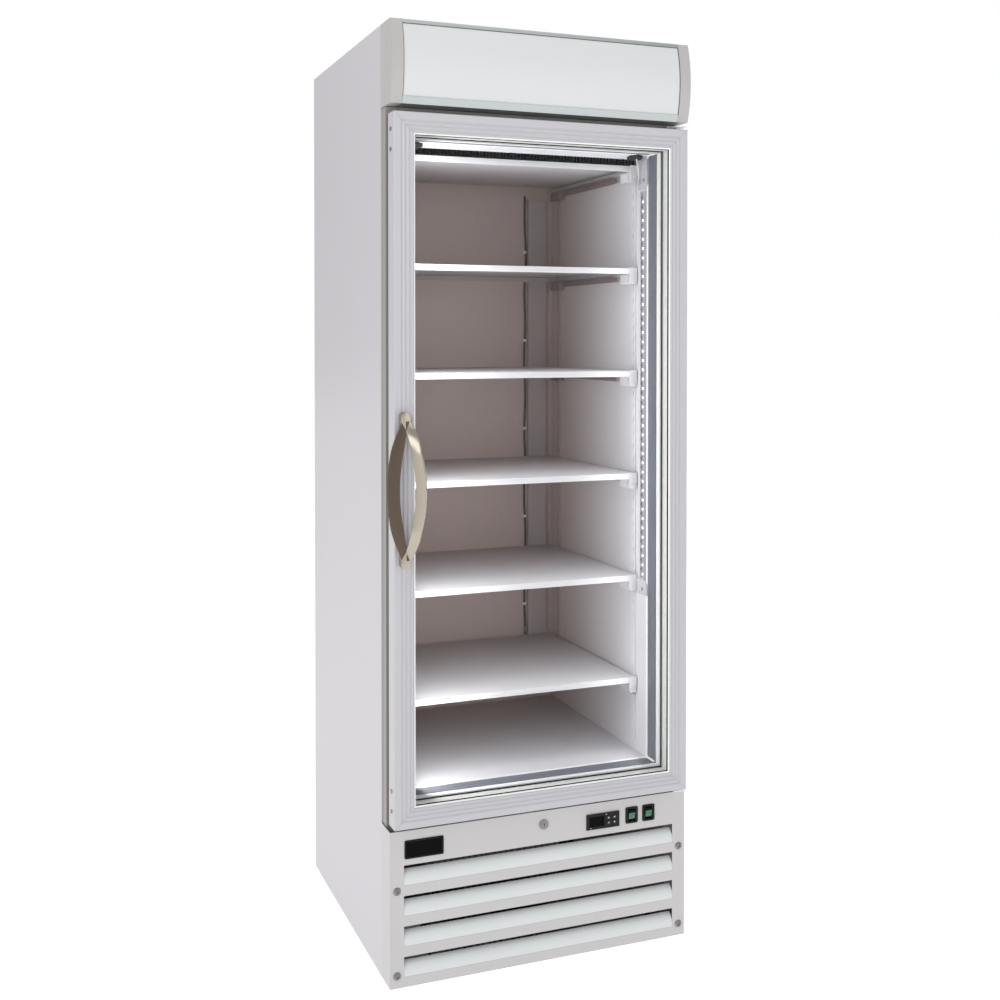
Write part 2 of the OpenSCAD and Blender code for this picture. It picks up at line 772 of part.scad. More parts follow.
module controller_button(column, row) {
    x = button_xs[column];
    z = button_zs[row];
    color([0.22, 0.23, 0.25]) placed() difference() {
        block([x - button_w / 2, -base_d - 3.9, z - button_h / 2], [x + button_w / 2, -base_d + 2, z + button_h / 2]);
        translate([x, -base_d - 10.8, z]) rotate([0, 90, 0])
            cylinder(r = 7.2, h = button_w + over, center = true);
    }
}

module set_button() { controller_button(0, 0); }
module up_button() { controller_button(0, 1); }
module down_button() { controller_button(1, 0); }
module defrost_button() { controller_button(1, 1); }

module switch_housings() {
    bezel_t = 2.5;
    color(dark) placed() for (x = switch_xs) translate([x, 0, switch_z]) difference() {
        union() {
            block([-switch_w / 2, -base_d - bezel_t, -switch_h / 2], [switch_w / 2, -base_d, switch_h / 2]);
            block([-switch_w / 2 + 3.4, -base_d - 1, -switch_h / 2 + 3.4], [switch_w / 2 - 3.4, -22, switch_h / 2 - 3.4]);
        }
        block([-rocker_w / 2 - 0.6, -base_d - over, -rocker_r - 0.5],
            [rocker_w / 2 + 0.6, rocker_y + rocker_r + 0.5, rocker_r + 0.5]);
    }
}

// rocker with a shallow V face, inside its own turning circle
module rocker(x) {
    v_angle = 10;
    color([0.10, 0.45, 0.28]) placed() translate([x, rocker_y, switch_z]) rotate([rocker_tilt, 0, 0])
        difference() {
            rod_x(rocker_r, -rocker_w / 2, rocker_w / 2);
            for (s = [-1, 1]) translate([0, -8.2, 0]) rotate([s * v_angle, 0, 0])
                block([-20, -20, s > 0 ? 0 : -20], [20, 0, s > 0 ? 20 : 0]);
            block([-20, 4, -20], [20, 20, 20]);
        }
}

module light_rocker() { rocker(switch_xs[0]); }
module power_rocker() { rocker(switch_xs[1]); }

// ---------------------------------------------------------------- feet and machine compartment
function foot_places() = [for (x = [-305, 305], y = [38, cab_d - 62]) [x, y]];

module levelling_feet() {
    color([0.35, 0.35, 0.36]) placed() for (foot = foot_places()) translate([foot[0], foot[1], 0]) {
        cylinder(r1 = 17, r2 = 13, h = 9);
        rod_z(5, 8, 46);
        rod_z(10, foot_h + 2.1, foot_h + 10);
    }
}

comp_c = [170, 400];

module compressor() {
    body_r = 82;
    color([0.13, 0.13, 0.14]) placed() translate([comp_c[0], comp_c[1], 0]) {
        rod_z(body_r, 60, 160);
        intersection() {
            translate([0, 0, 160]) sphere(body_r);
            rod_z(body_r, 160 - eps, 215);
        }
        block([-95, -60, 52], [95, 60, 60]);
        block([-30, -body_r - 28, 90], [30, -body_r + 8, 150]);
    }
}

module compressor_mounts() {
    color([0.10, 0.10, 0.10]) placed() translate([comp_c[0], comp_c[1], 0])
        for (x = [-82, 82], y = [-48, 48]) translate([x, y, 0]) rod_z(12, foot_h + 2.1, 51.9);
}

module condenser_coil() {
    x0 = -230;
    x1 = 60;
    y0 = 8;
    y1 = 60;
    z0 = 36;
    z1 = 322;
    fin_pitch = 14;
    fins = floor((x1 - x0 - 10) / fin_pitch);
    color([0.30, 0.30, 0.31]) placed() {
        for (x = [x0, x1 - 1.5]) block([x, y0, z0 - 1], [x + 1.5, y1, z1]);
        for (col = [0, 1], row = [0 : 7]) translate([0, y0 + 14 + col * 24, z0 + 18 + row * 36])
            rod_x(4.8, x0 - 10, x1 + 10);
        for (i = [0 : fins - 1]) translate([x0 + 8 + i * fin_pitch, 0, 0])
            block([-0.4, y0 + 3, z0 + 3], [0.4, y1 - 3, z1 - 3]);
    }
}

module condenser_fan() {
    color(dark) placed() translate(cond_fan_c) rotor(cond_fan_r, 5, 28, 24, 60);
}

module condenser_fan_motor() {
    color(steel) placed() translate(cond_fan_c)
        fan_motor(cond_fan_r, cond_fan_r + 5, [-24, 20], 38, 32, 100);
}

module refrigerant_lines() {
    r = 4.8;
    color(copper) placed() {
        // filter drier in the liquid line
        translate([-6, 250, 250]) {
            rod_x(14, -55, 55);
            both_sides() rod_x(r, -86, -50);
        }
        // discharge line, compressor dome to condenser
        translate([comp_c[0] + 50, 0, 120]) {
            rod_y(r, 68, 330);
        }
        // suction line up the back
        translate([comp_c[0] + 96, comp_c[1] + 60, 0]) rod_z(r + 1.5, 100, 320);
    }
}

module drain_pan() {
    color(steel) placed() translate([-160, 420, foot_h + 2.1]) difference() {
        block([-120, -110, 0], [120, 110, 45]);
        block([-118.5, -108.5, 1.5], [118.5, 108.5, 45 + over]);
    }
}

module power_inlet() {
    y1 = cab_d - skin;
    color(dark) placed() translate([270, 0, 70]) difference() {
        union() {
            rod_y(12.3, y1 - 14, y1 + 0.5);
            rod_y(17, y1 - 8, y1 - skin - 0.1);
        }
        rod_y(5.5, y1 - 20, y1 + over);
    }
}

// ---------------------------------------------------------------- door
// hollow bar section, u to the right from the door's edge, v upward from the door's face
module bar_section() {
    difference() {
        polygon([
            [0, 1.5], [1.5, 0],
            for (u = groove_us) each [[u - 3, 0], [u - 1.2, groove_d], [u + 1.2, groove_d], [u + 3, 0]],
            [bar_w - 2, 0], [bar_w, 2], [bar_w, lip_t],
            [rebate_u - 0.2, lip_t], [rebate_u - 0.2, door_t - 1.5], [rebate_u - 1.7, door_t],
            [1.5, door_t], [0, door_t - 1.5]
        ]);
        translate([bar_wall, lip_t + 1]) square([rebate_u - 2 * bar_wall - 0.2, door_t - lip_t - 1 - bar_wall]);
    }
}

// a mitred bar of the given half length, its outer edge on the plane z = 0, running along x
module bar(half_len) {
    intersection() {
        translate([-half_len, door_front, 0]) rotate([90, 0, 90]) linear_extrude(2 * half_len)
            mirror([1, 0]) rotate([0, 0, 90]) bar_section();
        rotate([90, 0, 0]) translate([0, 0, -door_back - over]) linear_extrude(door_t + 2 * over)
            polygon([
                [-half_len + mitre_gap, 0], [half_len - mitre_gap, 0],
                [half_len - bar_w - mitre_gap, bar_w], [-half_len + bar_w + mitre_gap, bar_w]
            ]);
    }
}

module hinge_holes() {
    translate([pivot_x, pivot_y, 0]) {
        rod_z(bush_r + 0.2, door_z0 - over, door_z0 + bush_len + 3);
        rod_z(bush_r + 0.2, door_z1 - bush_len - 3, door_z1 + over);
    }
}

door_screw_zs = [door_z0 + 34, door_z0 + 75, door_z1 - 75, door_z1 - 34];
handle_screw_zs = [for (s = [-1, 1]) handle_z + s * (handle_len / 2 - mount_h / 2)];

module door_stiles() {
    half_len = (door_z1 - door_z0) / 2;
    color(frame_white) placed() difference() {
        both_sides() translate([-door_x, 0, door_mid_z]) rotate([0, 90, 0]) bar(half_len);
        hinge_holes();
        for (z = door_screw_zs) translate([0, door_mid_y, z]) rod_x(2.2, -door_x - over, -door_x + 10);
        for (z = handle_screw_zs) translate([-handle_x, 0, z]) rod_y(2.7, door_front - over, door_front + 10);
    }
}

module door_rails() {
    color(frame_white) placed() difference() {
        union() {
            translate([0, 0, door_z0]) bar(door_x);
            translate([0, 0, door_z1]) mirror([0, 0, 1]) bar(door_x);
        }
        hinge_holes();
        block([-10, cam_y0 - 2, door_z0 - over], [32, cam_y0 + cam_t + 2, door_z0 + over + 5]);
    }
}

glass_x = door_x - rebate_u;
glass_z0 = door_z0 + rebate_u;
glass_z1 = door_z1 - rebate_u;
glass_y0 = door_front + lip_t;

module door_glass() {
    color([0.80, 0.88, 0.88, 0.25]) placed() for (y = [glass_y0, glass_y0 + igu_t - glass_t])
        block([-glass_x, y, glass_z0], [glass_x, y + glass_t, glass_z1]);
}

module glass_spacer() {
    inset = 3;
    color([0.48, 0.52, 0.50]) placed() door_ring(glass_x - inset, glass_z0 + inset, glass_z1 - inset, 10,
        glass_y0 + glass_t, glass_y0 + igu_t - glass_t);
}

module glazing_beads() {
    w = 17;
    gap = 0.1;
    y0 = glass_y0 + igu_t + gap;
    y1 = door_back;
    color(inner_white) placed() {
        both_sides() block([-glass_x, y0, glass_z0], [-glass_x + w, y1, glass_z1]);
        for (z = [glass_z0, glass_z1 - w]) block([-glass_x + w + gap, y0, z], [glass_x - w - gap, y1, z + w]);
    }
}

module door_gasket() {
    gasket_w = 26.5;
    gasket_x = pivot_x - 10;
    inset = door_x - gasket_x;
    color(inner_white) placed() difference() {
        door_ring(gasket_x, door_z0 + inset, door_z1 - inset, gasket_w, door_back, -jamb_d - 0.5);
        door_ring(gasket_x + over, door_z0 + inset - over, door_z1 - inset + over, over + 5,
            door_back + 2.5, door_back + 6);
    }
}

module door_screws() {
    color(steel) placed() {
        for (z = door_screw_zs) translate([0, door_mid_y, z]) {
            rod_x(4.4, -door_x - 1.6, -door_x);
            rod_x(2, -door_x - eps, -door_x + 8);
        }
        for (z = handle_screw_zs) translate([-handle_x, 0, z]) {
            rod_y(2.5, door_front - 14, door_front + lip_t + 1 + eps);
            rod_y(4.6, door_front + lip_t + 1, door_front + lip_t + 4);
        }
    }
}

// one blade of the handle: an arc between the two mounts, bowing to local +x
module handle_blade(angle, sag, w) {
    r = (blade_end * blade_end + sag * sag) / (2 * sag);
    half_angle = asin(blade_end / r);
    rotate([0, 0, angle]) translate([sag - r, 0, 0]) rotate([90, 0, 0]) rotate([0, 0, -half_angle])
        rotate_extrude(angle = 2 * half_angle, $fn = 180)
            translate([r - w / 2, -blade_t / 2]) square([w, blade_t]);
}

module door_handle() {
    end_r = mount_w / 2;
    top = handle_len / 2;
    color(nickel) placed() translate([-handle_x, door_front, handle_z]) difference() {
        union() {
            translate([0, -blade_off, 0]) {
                handle_blade(-out_tilt, out_sag, out_w);
                handle_blade(180 + in_tilt, in_sag, in_w);
            }
            for (s = [0, 1]) mirror([0, 0, s]) {
                block([-mount_w / 2, -mount_d, top - mount_h], [mount_w / 2, 0, top - end_r]);
                translate([0, 0, top - end_r]) rod_y(end_r, -mount_d, 0);
            }
        }
        for (s = [-1, 1]) translate([0, 0, s * (top - mount_h / 2)]) rod_y(2.6, -15, over);
    }
}

// ---------------------------------------------------------------- hinges
// brackets on the jamb, each with a pin; the lower pin carries the closing torsion bar
module hinge_bracket(z, leg) {
    plate_t = 3;
    x0 = pivot_x - 12;
    x1 = half_w - 3;
    block([x0, pivot_y - 12, z], [x1, -jamb_d - eps, z + plate_t]);
    block([x0, -jamb_d - plate_t, min(z, z + leg)], [x1, -jamb_d - eps, max(z + plate_t, z + leg)]);
}

module hinge_brackets() {
    z_low = base_z1 + 2;
    z_high = door_z1 + 6;
    color(steel) placed() {
        hinge_bracket(z_low, 0);
        translate([pivot_x, pivot_y, 0]) {
            rod_z(pin_r, z_low, door_z0 + bush_len + 6);
            rod_z(3, z_low, door_z0 + torsion_len);
        }
        hinge_bracket(z_high, 8);
        translate([pivot_x, pivot_y, 0]) rod_z(pin_r, door_z1 - bush_len - 4, z_high + 3);
    }
}

module hinge_bushes() {
    color([0.90, 0.90, 0.88]) placed() translate([pivot_x, pivot_y, 0]) {
        for (end = [[door_z0 - 2, door_z0, door_z0 + bush_len], [door_z1, door_z1 + 2, door_z1 - bush_len]])
            difference() {
                union() {
                    rod_z(flange_r, end[0], end[1]);
                    rod_z(bush_r, min(end[0], end[2]), max(end[1], end[2]));
                }
                rod_z(pin_r + bush_clear, door_z0 - 20, door_z1 + 20);
            }
    }
}

side_panels();
back_and_top_panels();
base_pan();
insulation_foam();
liner();
front_jamb();
duct_panel();
air_grille();
evaporator_coil();
evaporator_fan_motor();
evaporator_fan();
led_strips();
cable_grommets();
shelf(1);  // shelf_1
shelf(2);  // shelf_2
shelf(3);  // shelf_3
shelf(4);  // shelf_4
shelf(5);  // shelf_5
shelf_clips();
shelf_pilasters();
inner_cables();
canopy_caps();
canopy_panel();
canopy_trims();
canopy_back();
canopy_lamp();
base_panel();
louvres();
panel_screws();
nameplate();
lock_housing();
lock_plug();
controller_case();
controller_window();
set_button();
up_button();
down_button();
defrost_button();
switch_housings();
light_rocker();
power_rocker();
levelling_feet();
compressor();
compressor_mounts();
condenser_coil();
condenser_fan_motor();
condenser_fan();
refrigerant_lines();
drain_pan();
power_inlet();
door_stiles();
door_rails();
door_glass();
glass_spacer();
glazing_beads();
door_gasket();
door_screws();
door_handle();
hinge_brackets();
hinge_bushes();
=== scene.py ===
"""Looks of the glass door merchandiser: materials, detailed pieces, lights and camera.

Sizes are in millimetres in cabinet coordinates (x from the cabinet's middle, y from the side
panels' front edges towards the back, z from the floor); at() turns them into the frame's metres.
"""
import math

import bpy
import bmesh
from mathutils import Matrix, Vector


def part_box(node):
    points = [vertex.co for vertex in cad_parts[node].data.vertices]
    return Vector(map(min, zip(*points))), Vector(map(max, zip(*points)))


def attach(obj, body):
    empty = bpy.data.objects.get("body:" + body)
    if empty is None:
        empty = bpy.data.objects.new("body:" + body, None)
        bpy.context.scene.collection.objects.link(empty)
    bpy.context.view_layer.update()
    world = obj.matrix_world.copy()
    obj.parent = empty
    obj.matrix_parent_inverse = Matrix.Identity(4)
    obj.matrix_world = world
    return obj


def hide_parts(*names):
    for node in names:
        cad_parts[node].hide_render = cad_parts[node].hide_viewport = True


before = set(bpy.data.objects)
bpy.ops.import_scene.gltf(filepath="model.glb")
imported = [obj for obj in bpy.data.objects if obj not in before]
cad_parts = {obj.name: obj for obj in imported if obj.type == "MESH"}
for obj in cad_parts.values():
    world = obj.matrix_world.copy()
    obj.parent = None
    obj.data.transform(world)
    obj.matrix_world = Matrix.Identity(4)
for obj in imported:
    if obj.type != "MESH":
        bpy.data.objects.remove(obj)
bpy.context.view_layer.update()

MM = 0.001
SIDE_LOW, SIDE_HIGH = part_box("side_panels")
MIDDLE_X = (SIDE_LOW[0] + SIDE_HIGH[0]) / 2
FRONT_Y = SIDE_LOW[1]


def at(x, y, z):
    """A point in cabinet millimetres, as metres in the frame."""
    return Vector((MIDDLE_X + x * MM, FRONT_Y + y * MM, z * MM))


def cab_box(node):
    """A CAD node's lowest and highest corners in cabinet millimetres."""
    low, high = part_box(node)
    shift = Vector((MIDDLE_X, FRONT_Y, 0))
    return (Vector(low) - shift) / MM, (Vector(high) - shift) / MM


# ------------------------------------------------------------------ materials
class Nodes:
    """Small helper that adds nodes to a material and links them."""

    def __init__(self, name):
        self.material = bpy.data.materials.new(name)
        self.material.use_nodes = True
        self.tree = self.material.node_tree
        self.tree.nodes.clear()
        self.output = self.add("ShaderNodeOutputMaterial")

    def add(self, kind, inputs=None, **settings):
        node = self.tree.nodes.new(kind)
        for key, value in settings.items():
            setattr(node, key, value)
        for key, value in (inputs or {}).items():
            self.put(node, key, value)
        return node

    def put(self, node, key, value):
        socket = node.inputs[key]
        if isinstance(value, bpy.types.NodeSocket):
            self.tree.links.new(value, socket)
        elif isinstance(value, bpy.types.Node):
            self.tree.links.new(value.outputs[0], socket)
        else:
            socket.default_value = value

    def coords(self, scale=(1, 1, 1)):
        source = self.add("ShaderNodeTexCoord")
        return self.add("ShaderNodeMapping", {"Vector": source.outputs["Object"], "Scale": scale})

    def noise(self, scale, detail=3.0, stretch=(1, 1, 1), rough=0.5):
        return self.add("ShaderNodeTexNoise", {
            "Vector": self.coords(stretch), "Scale": scale, "Detail": detail, "Roughness": rough})

    def span(self, value, low, high):
        """Maps a 0 to 1 value to low..high."""
        return self.add("ShaderNodeMapRange", {"Value": value, "To Min": low, "To Max": high})

    def mix(self, factor, one, two):
        node = self.add("ShaderNodeMix", data_type="RGBA")
        self.put(node, 0, factor)
        self.put(node, 6, one)
        self.put(node, 7, two)
        return node.outputs[2]

    def surface(self, shader):
        self.tree.links.new(shader.outputs[0], self.output.inputs["Surface"])
        return self.material


def shade(color, factor):
    return tuple(min(1.0, c * factor) for c in color[:3]) + (1.0,)


def linear(r, g, b):
    """A colour given as 0..255 display values, in linear light."""
    return tuple((c / 255 / 12.92) if c <= 10 else ((c / 255 + 0.055) / 1.055) ** 2.4
                 for c in (r, g, b)) + (1.0,)


def coated(name, color, rough=0.35, mottle=0.04, mottle_scale=3.0, peel=0.15, peel_scale=420.0,
           round_edge=0.0008, metallic=0.0, streak=None, coat=0.0, crease_shade=0.0, deep=None, specular=0.5):
    """Painted, moulded or plated surface: clouded colour, fine texture, softened edges and optional painted shade
    in creases.

    With a depth triple (colour, y0, y1) the coating shifts to that colour between two depths in the cabinet:
    painted shade standing in for the light falling off towards the back.
    """
    n = Nodes(name)
    cloud = n.noise(mottle_scale, 4.0)
    tint = n.mix(cloud.outputs[0], shade(color, 1 - mottle), shade(color, 1 + mottle))
    # painted shade: the colour darkens with depth into the cabinet, standing in for light falling off towards the
    # back
    if deep:
        place = n.add("ShaderNodeSeparateXYZ", {0: n.add("ShaderNodeTexCoord").outputs["Object"]})
        depth = n.add("ShaderNodeMapRange", {
            "Value": place.outputs["Y"], "From Min": at(0, deep[1], 0).y, "From Max": at(0, deep[2], 0).y})
        tint = n.mix(depth.outputs[0], tint, deep[0])
    height = n.noise(peel_scale, 2.0, streak or (1, 1, 1))
    if streak:
        lines = n.noise(240.0, 2.0, streak)
        tint = n.mix(lines.outputs[0], tint, shade(color, 1 - mottle * 1.6))
    # painted shade: darkens the colour where ambient occlusion finds creases and corners, where shade falls
    if crease_shade:
        occlusion = n.add("ShaderNodeAmbientOcclusion", {"Distance": 0.02}, samples=6)
        crease_shade_mask = n.span(occlusion.outputs["AO"], crease_shade, 0.0)
        tint = n.mix(crease_shade_mask.outputs[0], tint, shade(color, 0.45))
    soft = n.add("ShaderNodeBevel", {"Radius": round_edge}, samples=4)
    bump = n.add("ShaderNodeBump", {
        "Height": height.outputs[0], "Strength": peel, "Distance": 0.0002, "Normal": soft})
    gloss = n.span(cloud.outputs[0], rough * 0.88, min(1.0, rough * 1.12))
    return n.surface(n.add("ShaderNodeBsdfPrincipled", {
        "Base Color": tint, "Metallic": metallic, "Roughness": gloss, "Normal": bump,
        "Specular IOR Level": specular, "Coat Weight": coat, "Coat Roughness": 0.12}))


def brushed(name, color, rough=0.3, along=(60, 60, 3), depth=0.25, round_edge=0.0006):
    """Brushed or satin metal with streaks along one direction."""
    n = Nodes(name)
    streaks = n.noise(30.0, 4.0, along, 0.65)
    tint = n.mix(streaks.outputs[0], shade(color, 0.82), shade(color, 1.12))
    gloss = n.span(streaks.outputs[0], rough * 0.75, rough * 1.3)
    soft = n.add("ShaderNodeBevel", {"Radius": round_edge}, samples=4)
    bump = n.add("ShaderNodeBump", {
        "Height": streaks.outputs[0], "Strength": depth, "Distance": 0.0001, "Normal": soft})
    return n.surface(n.add("ShaderNodeBsdfPrincipled", {
        "Base Color": tint, "Metallic": 1.0, "Roughness": gloss, "Normal": bump}))


def clear_glass(name, tint, weight=0.10):
    """Pane that lets light straight through, with a mirror part that grows a little at grazing angles.

    The growth is capped: light isn't bent inside the pane, so uncapped it would turn solid past 60 degrees.
    """
    grazing_cap = 0.07
    n = Nodes(name)
    smear = n.noise(5.0, 4.0, (1, 1, 0.4))
    rim = n.add("ShaderNodeLayerWeight", {"Blend": 0.12})
    grazing = n.add("ShaderNodeMath", {0: rim.outputs["Fresnel"], 1: grazing_cap}, operation="MINIMUM")
    share = n.add("ShaderNodeMath", {0: grazing, 1: weight}, operation="ADD")
    alpha = n.add("ShaderNodeMath", {
        0: share, 1: n.span(smear.outputs[0], 0.9, 1.1)}, operation="MULTIPLY")
    return n.surface(n.add("ShaderNodeBsdfPrincipled", {
        "Base Color": tint, "Roughness": n.span(smear.outputs[0], 0.01, 0.04), "Alpha": alpha,
        "IOR": 1.5}))


def glowing(name, color, strength, rough=0.3, base=None):
    n = Nodes(name)
    cloud = n.noise(6.0, 3.0)
    tint = n.mix(cloud.outputs[0], shade(color, 0.97), shade(color, 1.0))
    return n.surface(n.add("ShaderNodeBsdfPrincipled", {
        "Base Color": base or tint, "Roughness": rough, "Emission Color": tint,
        "Emission Strength": strength}))


PANEL = coated("side_panel_paint", linear(203, 200, 205), 0.34, 0.03, 2.2, 0.12)
# Painted shade: the rear panel darkens in its creases and corners.
REAR = coated("rear_panel_paint", linear(200, 198, 203), 0.38, 0.03, 3.0, 0.12, crease_shade=0.25)
BASE = coated("base_panel_paint", linear(200, 198, 198), 0.36, 0.03, 5.0, 0.12)
LOUVRE = coated("louvre_paint", linear(219, 222, 223), 0.30, 0.025, 7.0, 0.10)
# Painted shade with a warm painted reflection: the liner turns a darker pinkish grey towards the back.
LINER = coated("liner_white", linear(216, 216, 221), 0.45, 0.02, 16.0, 0.06, 160.0,
               deep=(linear(194, 177, 173), 120, 520))
# Painted shade: the shelves darken in creases and corners, and turn a darker pinkish grey towards the back.
SHELF_WHITE = coated("shelf_white", linear(222, 222, 226), 0.45, 0.015, 20.0, 0.10, crease_shade=0.3,
                     deep=(linear(176, 164, 163), 150, 500))
# Painted shade: the jamb darkens strongly in its creases and corners.
JAMB = coated("jamb_grey", linear(158, 155, 150), 0.45, 0.05, 9.0, 0.2, crease_shade=0.7)
JAMB_INNER = coated("jamb_inner_grey", linear(112, 115, 127), 0.4, 0.06, 12.0, 0.15)
STILE = coated("stile_coating", linear(199, 198, 203), 0.34, 0.03, 5.0, 0.12, streak=(3, 3, 0.12))
RAIL = coated("rail_coating", linear(199, 198, 203), 0.34, 0.03, 5.0, 0.12, streak=(0.12, 3, 3))
WHITE_PLASTIC = coated("white_plastic", linear(236, 238, 240), 0.30, 0.02, 12.0, 0.1)
STRIP_WHITE = coated("strip_white", linear(196, 194, 202), 0.6, 0.03, 12.0, 0.1)
RIBBON = coated("ribbon_grey", linear(150, 148, 156), 0.65, 0.08, 120.0, 0.3, specular=0.2)
# Painted shade: the clips turn darker towards the back.
CLIP = coated("clip_white", linear(226, 226, 230), 0.45, 0.02, 16.0, 0.1,
              deep=(linear(140, 126, 126), 110, 170))
CAP = coated("canopy_cap_plastic", linear(188, 184, 184), 0.42, 0.03, 6.0, 0.2)
TRIM = brushed("canopy_trim_metal", linear(190, 196, 196), 0.38, (2, 60, 60), 0.2)
BLACK = coated("black_plastic", linear(20, 20, 22), 0.42, 0.15, 30.0, 0.35, 900.0, 0.0005, specular=0.25)
GLOSS_BLACK = coated("gloss_black", linear(8, 8, 9), 0.30, 0.1, 20.0, 0.02, specular=0.06)
KEY_GREY = coated("key_grey", linear(34, 35, 38), 0.4, 0.1, 60.0, 0.3, 900.0, 0.0004)
GREEN_LENS = coated("green_lens", linear(30, 112, 74), 0.16, 0.25, 140.0, 0.1, 500.0, coat=0.5)
GASKET = coated("gasket_rubber", linear(232, 235, 237), 0.5, 0.03, 24.0, 0.3, 700.0)
SPACER = coated("spacer_metal", linear(214, 216, 213), 0.5, 0.10, 60.0, 0.4, 320.0)
SEALANT = coated("pane_sealant", linear(14, 15, 16), 0.6, 0.15, 40.0, 0.3, specular=0.15)
SEAM = coated("seam_rubber", linear(92, 96, 98), 0.6, 0.1, 40.0, 0.3)
SILICONE = coated("white_silicone", linear(246, 247, 248), 0.35, 0.02, 30.0, 0.2)
NICKEL = brushed("satin_nickel", linear(184, 175, 162), 0.30, (60, 60, 1.2), 0.3)
# Painted shade: the same satin nickel made darker for the rear blade, which faces away from the light.
NICKEL_PAINTED_SHADE = brushed("nickel_painted_shade", linear(106, 92, 82), 0.36, (60, 60, 1.2), 0.3)
STEEL = brushed("zinc_steel", linear(150, 148, 148), 0.32, (30, 30, 30), 0.2)
GALVANISED = coated("galvanised", linear(160, 163, 166), 0.42, 0.12, 36.0, 0.2, metallic=0.8)
CHROME = brushed("chrome", linear(138, 138, 142), 0.22, (20, 20, 20), 0.08)
FIN = brushed("fin_metal", linear(120, 116, 112), 0.40, (2, 40, 40), 0.2)
COPPER = brushed("copper_tube", linear(198, 130, 92), 0.28, (20, 20, 20), 0.2)
BLACK_METAL = coated("black_enamel", linear(24, 24, 26), 0.25, 0.1, 14.0, 0.2)
# Painted shade: dark brown for the slats that stand in for the shade inside the duct's mouth.
DUCT_PAINTED_SHADE = coated("duct_painted_shade_brown", linear(58, 44, 42), 0.5, 0.15, 14.0, 0.2)
RUBBER = coated("black_rubber", linear(30, 30, 31), 0.7, 0.1, 30.0, 0.4)
LEAD = coated("lead_jacket", linear(78, 62, 56), 0.45, 0.12, 60.0, 0.3)
FOAM = coated("insulation_foam", linear(226, 212, 168), 0.9, 0.08, 60.0, 1.0, 260.0)
NYLON = coated("nylon_bush", linear(228, 227, 220), 0.4, 0.03, 20.0, 0.2)
GLASS = clear_glass("pane_glass", (0.16, 0.20, 0.19, 1.0), 0.012)
DIFFUSER = glowing("canopy_diffuser", linear(221, 222, 223), 0.0, 0.34)
LAMP = glowing("lamp_glass", (1.0, 1.0, 1.0, 1.0), 0.3)
LED = glowing("led_chip", (1.0, 0.98, 0.94, 1.0), 3.0)
MARK = coated("printed_mark", linear(226, 228, 230), 0.5, 0.03, 90.0, 0.05)

NODE_MATERIALS = {
    "side_panels": PANEL, "back_and_top_panels": REAR, "base_pan": GALVANISED,
    "insulation_foam": FOAM, "liner": LINER, "front_jamb": JAMB, "duct_panel": SHELF_WHITE,
    "air_grille": BLACK, "evaporator_coil": FIN, "evaporator_fan_motor": STEEL,
    "evaporator_fan": BLACK, "led_strips": STRIP_WHITE, "cable_grommets": RUBBER,
    "shelf_clips": CLIP, "shelf_pilasters": SHELF_WHITE, "inner_cables": LEAD,
    "canopy_caps": CAP, "canopy_panel": DIFFUSER, "canopy_trims": TRIM, "canopy_back": LINER,
    "canopy_lamp": LAMP, "base_panel": BASE, "louvres": LOUVRE, "panel_screws": STEEL,
    "nameplate": GLOSS_BLACK, "lock_housing": CHROME, "lock_plug": CHROME,
    "controller_case": BLACK, "controller_window": GLOSS_BLACK, "set_button": KEY_GREY,
    "up_button": KEY_GREY, "down_button": KEY_GREY, "defrost_button": KEY_GREY,
    "switch_housings": BLACK, "light_rocker": GREEN_LENS, "power_rocker": GREEN_LENS,
    "levelling_feet": BLACK_METAL, "compressor": BLACK_METAL, "compressor_mounts": RUBBER,
    "condenser_coil": FIN, "condenser_fan_motor": STEEL, "condenser_fan": BLACK,
    "refrigerant_lines": COPPER, "drain_pan": GALVANISED, "power_inlet": BLACK,
    "door_stiles": STILE, "door_rails": RAIL, "door_glass": GLASS, "glass_spacer": SPACER,
    "glazing_beads": WHITE_PLASTIC, "door_gasket": GASKET, "door_screws": STEEL,
    "door_handle": NICKEL, "hinge_brackets": WHITE_PLASTIC, "hinge_bushes": NYLON,
}
NODE_MATERIALS.update({f"shelf_{i}": SHELF_WHITE for i in range(1, 6)})
for node, material in NODE_MATERIALS.items():
    for material_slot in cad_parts[node].material_slots:
        material_slot.material = material


# ------------------------------------------------------------------ mesh building
def round_rect(width, height, radius, steps=3):
    """Outline of a rounded rectangle round the origin, counter-clockwise."""
    points = []
    for corner, (sx, sy) in enumerate(((1, 1), (-1, 1), (-1, -1), (1, -1))):
        for step in range(steps + 1):
            angle = math.radians(90 * corner + 90 * step / steps)
            points.append((sx * (width / 2 - radius) + radius * math.cos(angle),
                           sy * (height / 2 - radius) + radius * math.sin(angle)))
    return points


def smooth_route(points, steps):
    """Catmull-Rom points through a route, with that many steps to each stretch."""
    route = []
    for i in range(len(points) - 1):
        a, b = Vector(points[max(i - 1, 0)]), Vector(points[i])
        c, d = Vector(points[i + 1]), Vector(points[min(i + 2, len(points) - 1)])
        for step in range(steps):
            t = step / steps
            route.append(0.5 * (2 * b + (c - a) * t + (2 * a - 5 * b + 4 * c - d) * t * t
                                + (3 * b - a - 3 * c + d) * t ** 3))
    return route + [Vector(points[-1])]


